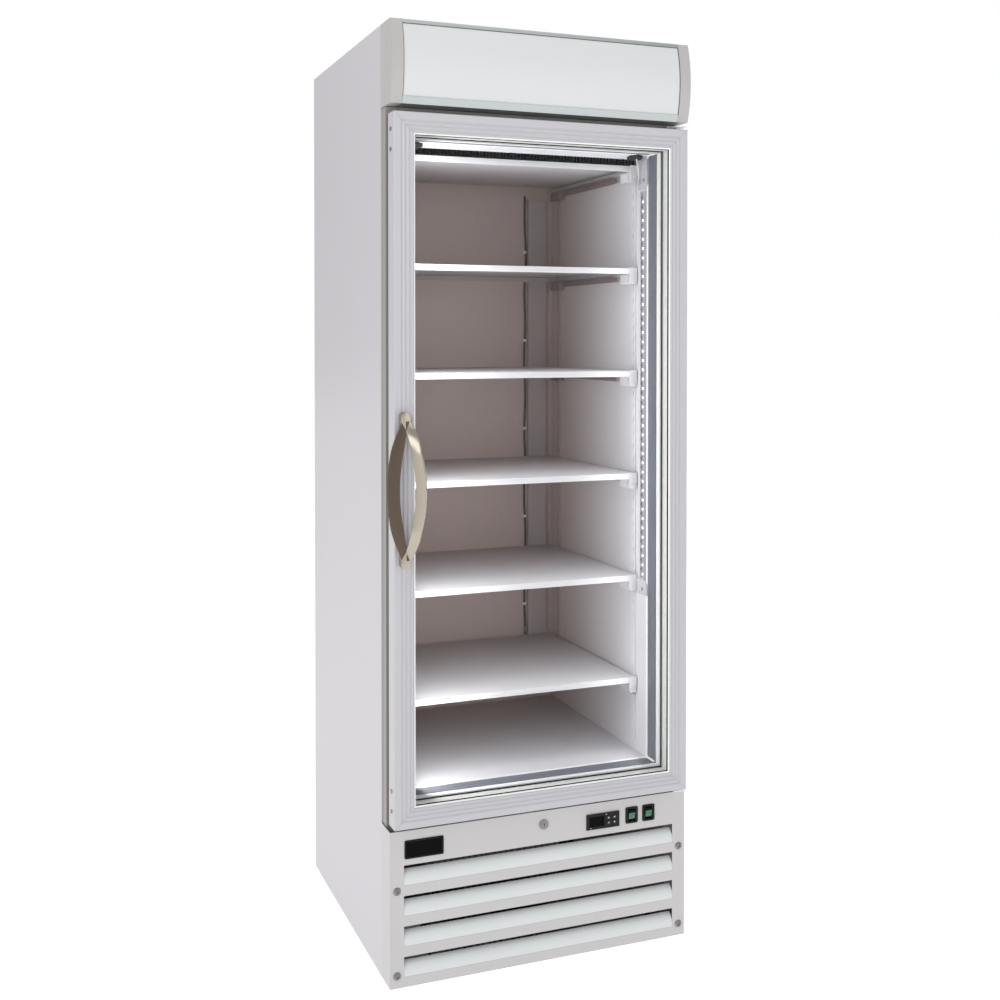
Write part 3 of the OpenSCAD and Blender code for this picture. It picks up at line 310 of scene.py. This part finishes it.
class Shape:
    """Vertices and faces in cabinet millimetres, gathered before they become one piece."""

    def __init__(self):
        self.verts = []
        self.faces = []
        self.marks = []

    def add(self, verts, faces, mark=0):
        """Adds a closed surface; mark is the number of its material on the piece."""
        start = len(self.verts)
        self.verts += [tuple(v) for v in verts]
        self.faces += [tuple(start + i for i in face) for face in faces]
        self.marks += [mark] * len(faces)

    def loft(self, rings, loop=False, mark=0):
        """Skins rings of equal count; a loop joins the last to the first, else both ends close."""
        count = len(rings[0])
        spans = len(rings) if loop else len(rings) - 1
        faces = []
        for i in range(spans):
            low, high = i * count, (i + 1) % len(rings) * count
            faces += [(low + k, low + (k + 1) % count, high + (k + 1) % count, high + k)
                      for k in range(count)]
        if not loop:
            faces.append(tuple(range(count - 1, -1, -1)))
            faces.append(tuple(range((len(rings) - 1) * count, len(rings) * count)))
        self.add([p for ring in rings for p in ring], faces, mark)

    def block(self, low, high, mark=0):
        (x0, y0, z0), (x1, y1, z1) = low, high
        self.loft([[(x0, y0, z), (x1, y0, z), (x1, y1, z), (x0, y1, z)] for z in (z0, z1)], mark=mark)

    def frame(self, profile, x0, x1, z0, z1, mark=0):
        """Mitred frame in an x-z rectangle; a profile point is (inset, y)."""
        self.loft([[(x0 + d, y, z0 + d) for d, y in profile], [(x1 - d, y, z0 + d) for d, y in profile],
                   [(x1 - d, y, z1 - d) for d, y in profile], [(x0 + d, y, z1 - d) for d, y in profile]],
                  loop=True, mark=mark)

    def tube(self, points, radius, sides=12, mark=0):
        """Round tube along a route, its rings kept square to it."""
        side = Vector((1, 0, 0))
        rings = []
        for i, point in enumerate(points):
            ahead = (points[min(i + 1, len(points) - 1)] - points[max(i - 1, 0)]).normalized()
            side = (side - side.dot(ahead) * ahead).normalized()
            other = ahead.cross(side)
            rings.append([point + radius * (math.cos(a) * side + math.sin(a) * other)
                          for a in (2 * math.pi * k / sides for k in range(sides))])
        self.loft(rings, mark=mark)

    def screw(self, centre, normal, radius, height, mark=0):
        """Domed head with a cross recess, standing on centre along normal."""
        centre, normal = Vector(centre), Vector(normal)
        across = Vector((0, 0, 1)).cross(normal).normalized() if abs(normal.z) < 0.9 else Vector((1, 0, 0))
        upward = normal.cross(across)
        spokes, steps = 40, 12
        rings = []
        for step in range(steps, -1, -1):
            reach = radius * max(step / steps, 0.01)
            ring = []
            for spoke in range(spokes):
                angle = 2 * math.pi * (spoke + 0.5) / spokes
                a, b = reach * math.cos(angle), reach * math.sin(angle)
                lift = height * (1 - 0.85 * (reach / radius) ** 2.4)
                if min(abs(a), abs(b)) < radius * 0.13 and max(abs(a), abs(b)) < radius * 0.56:
                    lift -= height * 0.55
                ring.append(centre + a * across + b * upward + lift * normal)
            rings.append(ring)
        foot = [centre + radius * (math.cos(a) * across + math.sin(a) * upward)
                for a in (2 * math.pi * (k + 0.5) / spokes for k in range(spokes))]
        self.loft([foot] + rings, mark=mark)

    def mirrored(self):
        """The same shape with its mirror image across the cabinet's middle."""
        both = Shape()
        both.verts = self.verts + [(-x, y, z) for x, y, z in self.verts]
        both.faces = self.faces + [tuple(len(self.verts) + i for i in reversed(f)) for f in self.faces]
        both.marks = self.marks * 2
        return both

    def piece(self, name, materials, body, slot, rounding=0.0, segments=2, replaces=(), angle=35):
        """Makes the Blender object, softens its edges and puts it on its body."""
        mesh = bpy.data.meshes.new(name)
        mesh.from_pydata([at(*v) for v in self.verts], [], self.faces)
        bm = bmesh.new()
        bm.from_mesh(mesh)
        bmesh.ops.recalc_face_normals(bm, faces=bm.faces)
        bm.to_mesh(mesh)
        bm.free()
        obj = bpy.data.objects.new(name, mesh)
        bpy.context.scene.collection.objects.link(obj)
        for material in materials if isinstance(materials, (list, tuple)) else [materials]:
            mesh.materials.append(material)
        for polygon, mark in zip(mesh.polygons, self.marks):
            polygon.material_index = mark
            polygon.use_smooth = True
        mesh.set_sharp_from_angle(angle=math.radians(angle))
        if rounding:
            bevel = obj.modifiers.new("rounding", "BEVEL")
            bevel.width = rounding * MM
            bevel.segments = segments
            bevel.limit_method = "ANGLE"
            bevel.angle_limit = math.radians(angle)
            bevel.harden_normals = True
        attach(obj, body)
        if replaces:
            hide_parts(*replaces)
        return obj


# ------------------------------------------------------------------ places taken from the frame
PANE_LOW, PANE_HIGH = cab_box("door_glass")
SPACER_LOW, SPACER_HIGH = cab_box("glass_spacer")
GASKET_LOW, GASKET_HIGH = cab_box("door_gasket")
STILE_LOW, STILE_HIGH = cab_box("door_stiles")
CAP_LOW, CAP_HIGH = cab_box("canopy_caps")
DUCT_LOW, DUCT_HIGH = cab_box("duct_panel")
GRILLE_LOW, GRILLE_HIGH = cab_box("air_grille")
SHELVES = [cab_box(f"shelf_{level}") for level in range(1, 6)]
LINER_X = cab_box("led_strips")[1].x
DOOR_EDGE = -STILE_LOW.x
OPEN_Z = (400, 1757)
BASE_Y = cab_box("base_panel")[0].y


# ------------------------------------------------------------------ door
def make_handle():
    """Two bowed blades that meet in rounded tabs at both ends, like the outline of an eye."""
    low, high = cab_box("door_handle")
    middle_z = (low.z + high.z) / 2
    middle_x = -316
    face = STILE_LOW.y
    reach = (high.z - low.z) / 2
    blade_end, stand_off, thick, tab_w = 140, 18, 6, 20
    steps = 72

    def section(z, angle, offset, width, depth):
        ca, sa = math.cos(angle), math.sin(angle)
        ring = []
        for u, v in round_rect(width, depth, min(width, depth) * 0.3):
            along = offset + u
            ring.append((middle_x + along * ca - v * sa, face - stand_off + along * sa + v * ca, middle_z + z))
        return ring

    def blade(sag, angle, width, end_width, overrun):
        radius = (blade_end ** 2 + sag ** 2) / (2 * sag)
        rings = []
        for i in range(steps + 1):
            z = (2 * i / steps - 1) * (blade_end + overrun)
            inside = min(abs(z), blade_end)
            offset = sag - radius + math.sqrt(radius ** 2 - inside ** 2)
            blend = min(1.0, max(0.0, (blade_end + 6 - abs(z)) / 70))
            blend = blend * blend * (3 - 2 * blend)
            here = end_width + (width - end_width) * blend
            left = blade_end + overrun - abs(z)
            tip = tab_w / 2
            if overrun and left < tip:
                here *= math.sqrt(max(0.02, 1 - ((tip - left) / tip) ** 2))
            rings.append(section(z, angle * blend if overrun else angle, offset, here, thick))
        return rings

    shape = Shape()
    shape.loft(blade(36, -math.radians(48), 24, tab_w, reach - blade_end))
    # posts under the tabs
    for end in (-1, 1):
        rings = []
        for y, grow in ((face, 0), (face - 2, 0), (face - stand_off, -1.5)):
            rings.append([(middle_x + u, y, middle_z + end * (reach - 20.5) + v)
                          for u, v in round_rect(tab_w + grow - 1, 37 + grow, 8, 5)])
        shape.loft(rings)
    shape.piece("handle_front", NICKEL, "door", "nickel", replaces=("door_handle",))
    # the rear blade's darker nickel is painted shade, since it faces away from the light
    rear = Shape()
    rear.loft(blade(25, math.radians(180 - 14), 26, 15, 0))
    rear.piece("handle_rear_blade", NICKEL_PAINTED_SHADE, "door", "nickel", replaces=("door_handle",))


def make_glazing():
    """Spacer with its sealant, the dark tape behind the rear pane, a white lip that paints the highlight on the
    frame's inner edge, and the bellows gasket.
    """
    x = -SPACER_LOW.x
    front, back = SPACER_LOW.y, SPACER_HIGH.y
    z0, z1 = SPACER_LOW.z, SPACER_HIGH.z
    shape = Shape()
    shape.frame([(0, front + 0.9), (9.6, front + 0.9), (10, front + 1.5), (10, back - 1.5),
                 (9.6, back - 0.9), (0, back - 0.9)], -x, x, z0, z1)
    for a, b in ((front + 0.02, front + 0.9), (back - 0.9, back - 0.02)):
        shape.frame([(0, a), (10.2, a), (9.7, b), (0, b)] if a < -60 else
                    [(0, a), (9.7, a), (10.2, b), (0, b)], -x, x, z0, z1, mark=1)
    # ridge along the middle of the spacer's face
    for y in (front + 7.5, back - 7.5):
        shape.frame([(9.8, y - 0.5), (10.3, y - 0.3), (10.3, y + 0.3), (9.8, y + 0.5)], -x, x, z0, z1)
    shape.piece("pane_spacer", [SPACER, SEALANT], "door", "spacer_metal", 0.15, replaces=("glass_spacer",))

    tape = Shape()
    pane_back = PANE_HIGH.y
    px = -PANE_LOW.x
    tape.frame([(12, pane_back + 0.02), (14.4, pane_back + 0.02), (14.4, pane_back + 0.09), (12, pane_back + 0.09)],
               -px, px, PANE_LOW.z, PANE_HIGH.z)
    tape.piece("glazing_tape", SEALANT, "door", "gasket_white")

    # white strip on the frame's inner chamfer: a painted highlight line
    lip = Shape()
    inset, face = 42.05, STILE_LOW.y
    lip.frame([(inset, face + 0.9), (inset + 1, face + 1.1), (inset + 3.1, face + 2.4), (inset + 3.1, face + 2.95),
               (inset, face + 2.95)], -DOOR_EDGE, DOOR_EDGE, STILE_LOW.z, STILE_HIGH.z)
    lip.piece("pane_lip_painted_highlight", SILICONE, "door", "door_frame", 0.25)

    width = 26.5
    y0, y1 = GASKET_LOW.y, GASKET_HIGH.y
    bellows = [(0, y0), (0, y0 + 2.2), (2.4, y0 + 2.8), (3.0, y0 + 4.2), (2.4, y0 + 5.6), (0.4, y0 + 6.2),
               (0, y1 - 0.8), (0.8, y1), (width - 0.8, y1), (width, y1 - 0.8), (width - 0.4, y0 + 6.2),
               (width - 1.6, y0 + 4.4), (width - 0.4, y0 + 2.6), (width, y0 + 2.0), (width, y0)]
    gasket = Shape()
    gasket.frame(bellows, GASKET_LOW.x, GASKET_HIGH.x, GASKET_LOW.z, GASKET_HIGH.z)
    gasket.piece("bellows_gasket", GASKET, "door", "gasket_white", 0.4, replaces=("door_gasket",), angle=20)


def make_door_screws():
    low, high = cab_box("door_screws")
    shape = Shape()
    middle_y = (STILE_LOW.y + STILE_HIGH.y) / 2
    for z in (low.z + 4.4, low.z + 45.4, high.z - 45.4, high.z - 4.4):
        shape.screw((STILE_LOW.x, middle_y, z), (-1, 0, 0), 4.4, 1.5)
    shape.piece("edge_screw_heads", STEEL, "door", "steel")


# ------------------------------------------------------------------ inside
def make_led_rows():
    """Ribbon with a white chip every 21 mm and a dark resistor between each pair."""
    pitch, chip = 21, 2.2
    x = LINER_X - 5
    z = 801 + 12
    ribbon, chips = Shape(), Shape()
    ribbon.block((x - 0.4, 18.4, 804), (x + 0.1, 31.6, 1674))
    while z < 1672:
        chips.loft([[(x - lift, 21.5 + u, z + v) for u, v in round_rect(chip * 2 * s, chip * 2 * s, 0.9 * s)]
                    for lift, s in ((0.3, 1.0), (1.3, 1.0), (1.9, 0.75), (2.1, 0.4))])
        ribbon.block((x - 1.1, 27.6, z + 7.5), (x - 0.2, 30.6, z + 13.5), mark=1)
        z += pitch
    ribbon.mirrored().piece("led_ribbons", [RIBBON, BLACK], "cabinet", "white_plastic", 0.1)
    chips.mirrored().piece("led_chips", LED, "cabinet", "lamp_white")


def make_strip_screws():
    shape = Shape()
    for y, z in ((25, 1702), (29, 778)):
        shape.screw((LINER_X - 3, y, z), (-1, 0, 0), 4.0, 1.8)
    shape.mirrored().piece("strip_screw_heads", STEEL, "cabinet", "steel")


def make_cables():
    """Light leads from the grommets, and the probe's lead down the back liner."""
    lead = [(266, 31.2, 1753.4), (266, 31, 1749), (268, 33, 1741), (272, 36, 1730), (275, 40, 1718),
            (278.5, 43, 1706)]
    leads = Shape()
    leads.tube(smooth_route(lead, 6), 1.5)
    leads.mirrored().piece("light_leads", WHITE_PLASTIC, "cabinet", "white_plastic",
                           replaces=("inner_cables",))
    probe = [(206, 546, 1716), (206, 546, 1640), (209, 546, 1560), (205, 546, 1470), (207, 546, 1380),
             (204, 546, 1290), (208, 546, 1200), (205, 546, 1110), (207, 546, 1020), (204, 546, 930),
             (208, 546, 840), (206, 546, 750), (205, 546, 660), (207, 546, 590)]
    cable = Shape()
    cable.tube(smooth_route(probe, 6), 2.5)
    # bulb of the probe on the lead's end
    bulb = [Vector((207, 546, 590 - drop)) for drop in (0, 2, 4, 30, 32)]
    cable.loft([[(p.x + r * math.cos(a), p.y + r * math.sin(a), p.z)
                 for a in (2 * math.pi * k / 14 for k in range(14))]
                for p, r in zip(bulb, (2.5, 3.4, 3.6, 3.6, 2.6))], mark=1)
    # clips that hold the lead to the liner
    for z in (650, 880, 1110, 1340, 1570):
        cable.block((202, 548.6, z - 4), (210, 549.9, z + 4), mark=2)
        cable.loft([[(206 + 4.2 * math.cos(a), 546 + 4.0 * math.sin(a), h)
                     for a in (2 * math.pi * k / 16 for k in range(16))] for h in (z - 3, z + 3)], mark=2)
    cable.piece("probe_lead", [LEAD, STEEL, WHITE_PLASTIC], "cabinet", "mount_rubber",
                replaces=("inner_cables",))


def make_shelf_details():
    """Raised line along each lip and pressed ribs inside the side edges."""
    ribs = Shape()
    for low, high in SHELVES:
        ribs.block((-261, low.y - 0.5, high.z - 8.6), (261, low.y + 0.2, high.z - 4.4))
        for side in (-1, 1):
            x = side * 259
            ribs.block((x - 1.2, low.y + 8, high.z - 0.3), (x + 1.2, high.y - 8, high.z + 0.7))
        ribs.block((-261, high.y - 10, high.z - 0.3), (261, high.y - 8, high.z + 0.7))
    ribs.block((-261, DUCT_LOW.y - 0.5, DUCT_HIGH.z - 8.6), (261, DUCT_LOW.y + 0.2, DUCT_HIGH.z - 4.4))
    ribs.piece("shelf_ribs", SHELF_WHITE, "cabinet", "liner_white", 0.4)


def make_opening_details():
    """Grey lining of the jamb's inner faces, white bead on the liner's edge, and white corner fillets that paint
    the highlight along the opening's corners.
    """
    z0, z1 = OPEN_Z
    lining = Shape()
    lining.frame([(-0.3, -26.6), (0.5, -26.6), (0.7, -25), (0.7, -10), (1.1, -9.4), (1.1, -8), (0.7, -7.4),
                  (0.7, 5), (0.4, 6.5), (-0.3, 6.5)], -LINER_X, LINER_X, z0, z1)
    lining.piece("jamb_lining", JAMB_INNER, "cabinet", "jamb_grey", 0.15)
    edge = Shape()
    edge.frame([(-0.3, 9.0), (0.8, 9.8), (1.4, 11), (1.6, 12.5), (1.4, 14), (0.8, 15.2), (-0.3, 16.0)],
               -LINER_X, LINER_X, z0, z1)
    edge.piece("liner_edge_bead", SILICONE, "cabinet", "liner_white", 0.0, angle=60)
    # white fillets in the opening's corners: a painted highlight along the corner edges
    fillets = Shape()
    radius = 7
    for z, up in ((z0, 1), (z1, -1)):
        arc = [(radius - radius * math.sin(a), radius - radius * math.cos(a))
               for a in (math.radians(90 * k / 6) for k in range(7))]
        outline = [(-0.3, -0.3)] + arc
        fillets.loft([[(LINER_X - u, y, z + up * v) for u, v in outline] for y in (-25.5, 8.2)])
    fillets.mirrored().piece("corner_fillets_painted_highlight", SILICONE, "cabinet", "liner_white", angle=50)


def make_air_screen():
    """Row of thin upright slats behind the duct's mouth, dark brown as painted shade for the dark inside the duct.
    """
    shape = Shape()
    y = GRILLE_HIGH.y + 2
    count = 70
    for i in range(count):
        x = GRILLE_LOW.x + 4 + (GRILLE_HIGH.x - GRILLE_LOW.x - 8) * i / (count - 1)
        shape.block((x - 0.7, y, GRILLE_LOW.z + 1), (x + 0.7, y + 9, GRILLE_HIGH.z - 1))
    shape.piece("duct_slats", DUCT_PAINTED_SHADE, "cabinet", "black_plastic", 0.2)


# ------------------------------------------------------------------ canopy
def canopy_front(z, inset):
    """The canopy's front surface at a height, moved in by inset."""
    height = CAP_HIGH.z - CAP_LOW.z
    bulge = 14
    radius = ((height / 2) ** 2 + bulge ** 2) / (2 * bulge)
    middle = (CAP_HIGH.z + CAP_LOW.z) / 2
    return CAP_LOW.y + radius - math.sqrt((radius - inset) ** 2 - (z - middle) ** 2)


def make_canopy_seals():
    """Dark seals where the diffuser meets the caps and the top trim."""
    shape = Shape()
    z0, z1 = CAP_LOW.z + 15.2, CAP_HIGH.z - 8.2
    rings = []
    for i in range(25):
        z = z0 + (z1 - z0) * i / 24
        rings.append([(x, canopy_front(z, d), z) for x, d in ((313.4, 1.5), (315, 0.9), (315, 4), (313.4, 4))])
    shape.loft(rings)
    seals = shape.mirrored()
    rings = []
    for x in (-314, 314):
        rings.append([(x, canopy_front(z, d), z) for z, d in
                      ((z1 - 1.2, 1.2), (z1 + 0.6, 0.9), (z1 + 0.6, 4), (z1 - 1.2, 4))])
    seals.loft(rings)
    seals.piece("canopy_seals", SEAM, "cabinet", "black_plastic", 0.1)


# ------------------------------------------------------------------ machine base
def make_switches():
    """Bezels with round corners and a deep well, and rockers with a green lens."""
    low, high = cab_box("switch_housings")
    z = (low.z + high.z) / 2
    bezels = Shape()
    places = (209, 250)
    for x in places:
        rings = []
        for width, height, radius, y in (
                (23.2, 29.2, 1.0, -22), (23.2, 29.2, 1.0, BASE_Y), (30, 36, 4.0, BASE_Y),
                (30, 36, 4.0, BASE_Y - 1.3), (28.6, 34.6, 3.6, BASE_Y - 2.4), (21.5, 29.5, 2.2, BASE_Y - 2.5),
                (18.4, 26.4, 1.2, BASE_Y - 1.2), (18.2, 26.2, 1.0, BASE_Y + 20)):
            rings.append([(x + u, y, z + v) for u, v in round_rect(width, height, radius, 4)])
        bezels.loft(rings)
    bezels.piece("switch_bezels", BLACK, "cabinet", "black_plastic", replaces=("switch_housings",))
    tilt = math.radians(12)
    pivot_y = BASE_Y + 7
    radius = 12.4
    for x, body, name, node in ((places[0], "light_switch", "lamp_rocker", "light_rocker"),
                                (places[1], "power_switch", "mains_rocker", "power_rocker")):
        face = [(-8.2 - abs(v) * math.tan(math.radians(10)) + 0.012 * (8 - abs(v)) ** 2 * 0.5, v)
                for v in [(-8 + 16 * k / 16) for k in range(17)]]
        start = math.atan2(8, 9.6)
        rim = [(-radius * math.cos(a), radius * math.sin(a))
               for a in (start + (math.pi / 2 + 0.3 - start) * k / 8 for k in range(9))]
        outline = face + rim + [(y, -v) for y, v in reversed(rim)]

        def turned(y, v):
            return (pivot_y + y * math.cos(tilt) - v * math.sin(tilt), z + y * math.sin(tilt) + v * math.cos(tilt))

        shape = Shape()
        shape.loft([[(px, *turned(y, v)) for y, v in outline] for px in (x - 8.4, x + 8.4)])
        lens = []
        for lift, shrink in ((-0.6, 0.0), (0.25, 0.0), (0.45, 0.5)):
            lens.append([(x + px, *turned(-8.2 - abs(v) * math.tan(math.radians(10)) - lift, v + 0.8))
                         for px, v in round_rect(14.4 - shrink, 14.2 - shrink, 1.2, 3)])
        shape.loft(lens, mark=1)
        shape.piece(name, [BLACK, GREEN_LENS], body, "rocker_green", 0.3, replaces=(node,), angle=30)


def make_controller_marks():
    """Small raised signs on the four keys, and two pilot dots on the case."""
    y = -63.6
    signs = {
        ("set_key", 152, 296): [[(-1.6, -1.3), (1.6, -1.3), (1.6, -0.5), (-1.6, -0.5)],
                                [(-1.6, 0.5), (1.6, 0.5), (1.6, 1.3), (-1.6, 1.3)]],
        ("up_key", 152, 307): [[(-2.1, -1.3), (2.1, -1.3), (0, 1.7)]],
        ("down_key", 166, 296): [[(-2.1, 1.3), (0, -1.7), (2.1, 1.3)]],
        ("defrost_key", 166, 307): [[(math.cos(math.radians(60 * k)) * 1.7, math.sin(math.radians(60 * k)) * 1.7)
                                     for k in range(6)]],
    }
    for (body, x, z), outlines in signs.items():
        shape = Shape()
        for outline in outlines:
            shape.loft([[(x + u, y + depth, z + v) for u, v in outline] for depth in (0.3, -0.25)])
        shape.piece(f"{body}_sign", MARK, body, "lamp_white")
    dots = Shape()
    for x, z in ((146.6, 314.6), (109.5, 288.2)):
        dots.loft([[(x + r * math.cos(a), BASE_Y - 3 - lift, z + r * math.sin(a))
                    for a in (2 * math.pi * k / 14 for k in range(14))]
                   for r, lift in ((1.1, -0.4), (1.1, 0.2), (0.6, 0.5))])
    dots.piece("pilot_dots", MARK, "cabinet", "lamp_white")


def make_nameplate_border():
    low, high = cab_box("nameplate")
    shape = Shape()
    y = low.y
    shape.frame([(1.6, y + 0.3), (1.6, y - 0.2), (2.4, y - 0.2), (2.4, y + 0.3)], low.x, high.x, low.z, high.z)
    shape.piece("nameplate_border", KEY_GREY, "cabinet", "button_grey")


def make_panel_screws():
    low, high = cab_box("panel_screws")
    radius = 8.5
    shape = Shape()
    for x in (low.x + radius, high.x - radius):
        for z in (low.z + radius, high.z - radius):
            shape.screw((x, BASE_Y, z), (0, -1, 0), radius, 3.6)
    shape.piece("panel_screw_heads", STEEL, "cabinet", "steel", replaces=("panel_screws",))
    rear = Shape()
    low, high = cab_box("back_and_top_panels")
    for x in (-326, 0, 326):
        for z in (48, 330, 365, 900, 1450, 1970):
            rear.screw((x, high.y, z), (0, 1, 0), 4.4, 1.2)
    rear.piece("rear_screw_heads", STEEL, "cabinet", "steel")


def make_foot_nuts():
    """Hexagon nuts with turned collars on the levelling feet."""
    low, high = cab_box("levelling_feet")
    shape = Shape()
    for x in (low.x + 17, high.x - 17):
        for y in (low.y + 17, high.y - 17):
            for z0, z1, radius in ((10.0, 16.0, 10.4), (16.0, 17.0, 11.6)):
                shape.loft([[(x + radius * math.cos(a), y + radius * math.sin(a), z)
                             for a in (math.pi * k / 3 for k in range(6))] for z in (z0, z1)])
    shape.piece("foot_nuts", STEEL, "cabinet", "steel", 0.4)


make_handle()
make_glazing()
make_door_screws()
make_led_rows()
make_strip_screws()
make_cables()
make_shelf_details()
make_opening_details()
make_air_screen()
make_canopy_seals()
make_switches()
make_controller_marks()
make_nameplate_border()
make_panel_screws()
make_foot_nuts()


# ------------------------------------------------------------------ camera, lights and floor
def make_camera():
    """The camera stands left of the door, a little above its middle."""
    camera = bpy.data.objects.new("camera", bpy.data.cameras.new("camera"))
    bpy.context.scene.collection.objects.link(camera)
    camera.location = at(-1070.5, -2549.4, 1349.2)
    camera.rotation_euler = (math.radians(90 - 0.883), 0, math.radians(-21.303))
    camera.data.sensor_width = 36.0
    camera.data.lens = 46.08
    camera.data.shift_y = -0.1434
    camera.data.clip_end = 100.0
    bpy.context.scene.camera = camera


def area_light(name, place, target, size, power, color=(1, 1, 1), size_y=None):
    light = bpy.data.lights.new(name, "AREA")
    light.energy = power
    light.color = color
    light.size = size
    if size_y:
        light.shape = "RECTANGLE"
        light.size_y = size_y
    lamp = bpy.data.objects.new(name, light)
    lamp.location = place
    lamp.rotation_euler = (Vector(target) - Vector(place)).to_track_quat("-Z", "Y").to_euler()
    bpy.context.scene.collection.objects.link(lamp)
    return lamp


def make_lights():
    middle = (0, 0, 1.0)
    area_light("key_left", (-3.4, -2.2, 2.6), middle, 2.6, 44)
    area_light("fill_front", (1.6, -4.2, 1.8), middle, 2.4, 16)
    area_light("top_soft", (0, -0.6, 4.2), middle, 3.0, 26)
    area_light("back_soft", (1.5, 3.5, 2.6), middle, 2.6, 30)
    # stand-ins for the two LED strips, in front of them so that the shelf lips don't burn out;
    # the left one is stronger so that the right wall reads bright
    strip_middle_z, strip_width, strip_length = 1065, 0.012, 1.28
    for name, side, power in (("led_light_left", -1, 3.5), ("led_light_right", 1, 0.8)):
        area_light(name, at(side * 262, -8, strip_middle_z), at(-side * 284, 120, strip_middle_z),
                   strip_width, power, (1.0, 0.99, 0.97), strip_length)


def make_world():
    """White surroundings: plain white to the camera, dimmer as a source of light."""
    world = bpy.data.worlds.new("studio")
    bpy.context.scene.world = world
    world.use_nodes = True
    tree = world.node_tree
    background = tree.nodes["Background"]
    background.inputs["Color"].default_value = (1, 1, 1, 1)
    path = tree.nodes.new("ShaderNodeLightPath")
    strength = tree.nodes.new("ShaderNodeMapRange")
    strength.inputs["To Min"].default_value = 0.47
    strength.inputs["To Max"].default_value = 1.0
    tree.links.new(path.outputs["Is Camera Ray"], strength.inputs["Value"])
    tree.links.new(strength.outputs[0], background.inputs["Strength"])


def make_floor():
    mesh = bpy.data.meshes.new("floor")
    half = 30
    mesh.from_pydata([(-half, -half, 0), (half, -half, 0), (half, half, 0), (-half, half, 0)],
                     [], [(0, 1, 2, 3)])
    floor = bpy.data.objects.new("floor", mesh)
    bpy.context.scene.collection.objects.link(floor)
    n = Nodes("floor_pale")
    cloud = n.noise(1.0, 3.0)
    tint = n.mix(cloud.outputs[0], (0.61, 0.61, 0.61, 1), (0.63, 0.63, 0.63, 1))
    n.surface(n.add("ShaderNodeBsdfPrincipled", {
        "Base Color": tint, "Roughness": 0.9, "Specular IOR Level": 0.1,
        "Emission Color": (1, 1, 1, 1), "Emission Strength": 0.74}))
    floor.data.materials.append(n.material)


make_camera()
make_world()
make_lights()
make_floor()
bpy.context.scene.view_settings.view_transform = "Standard"
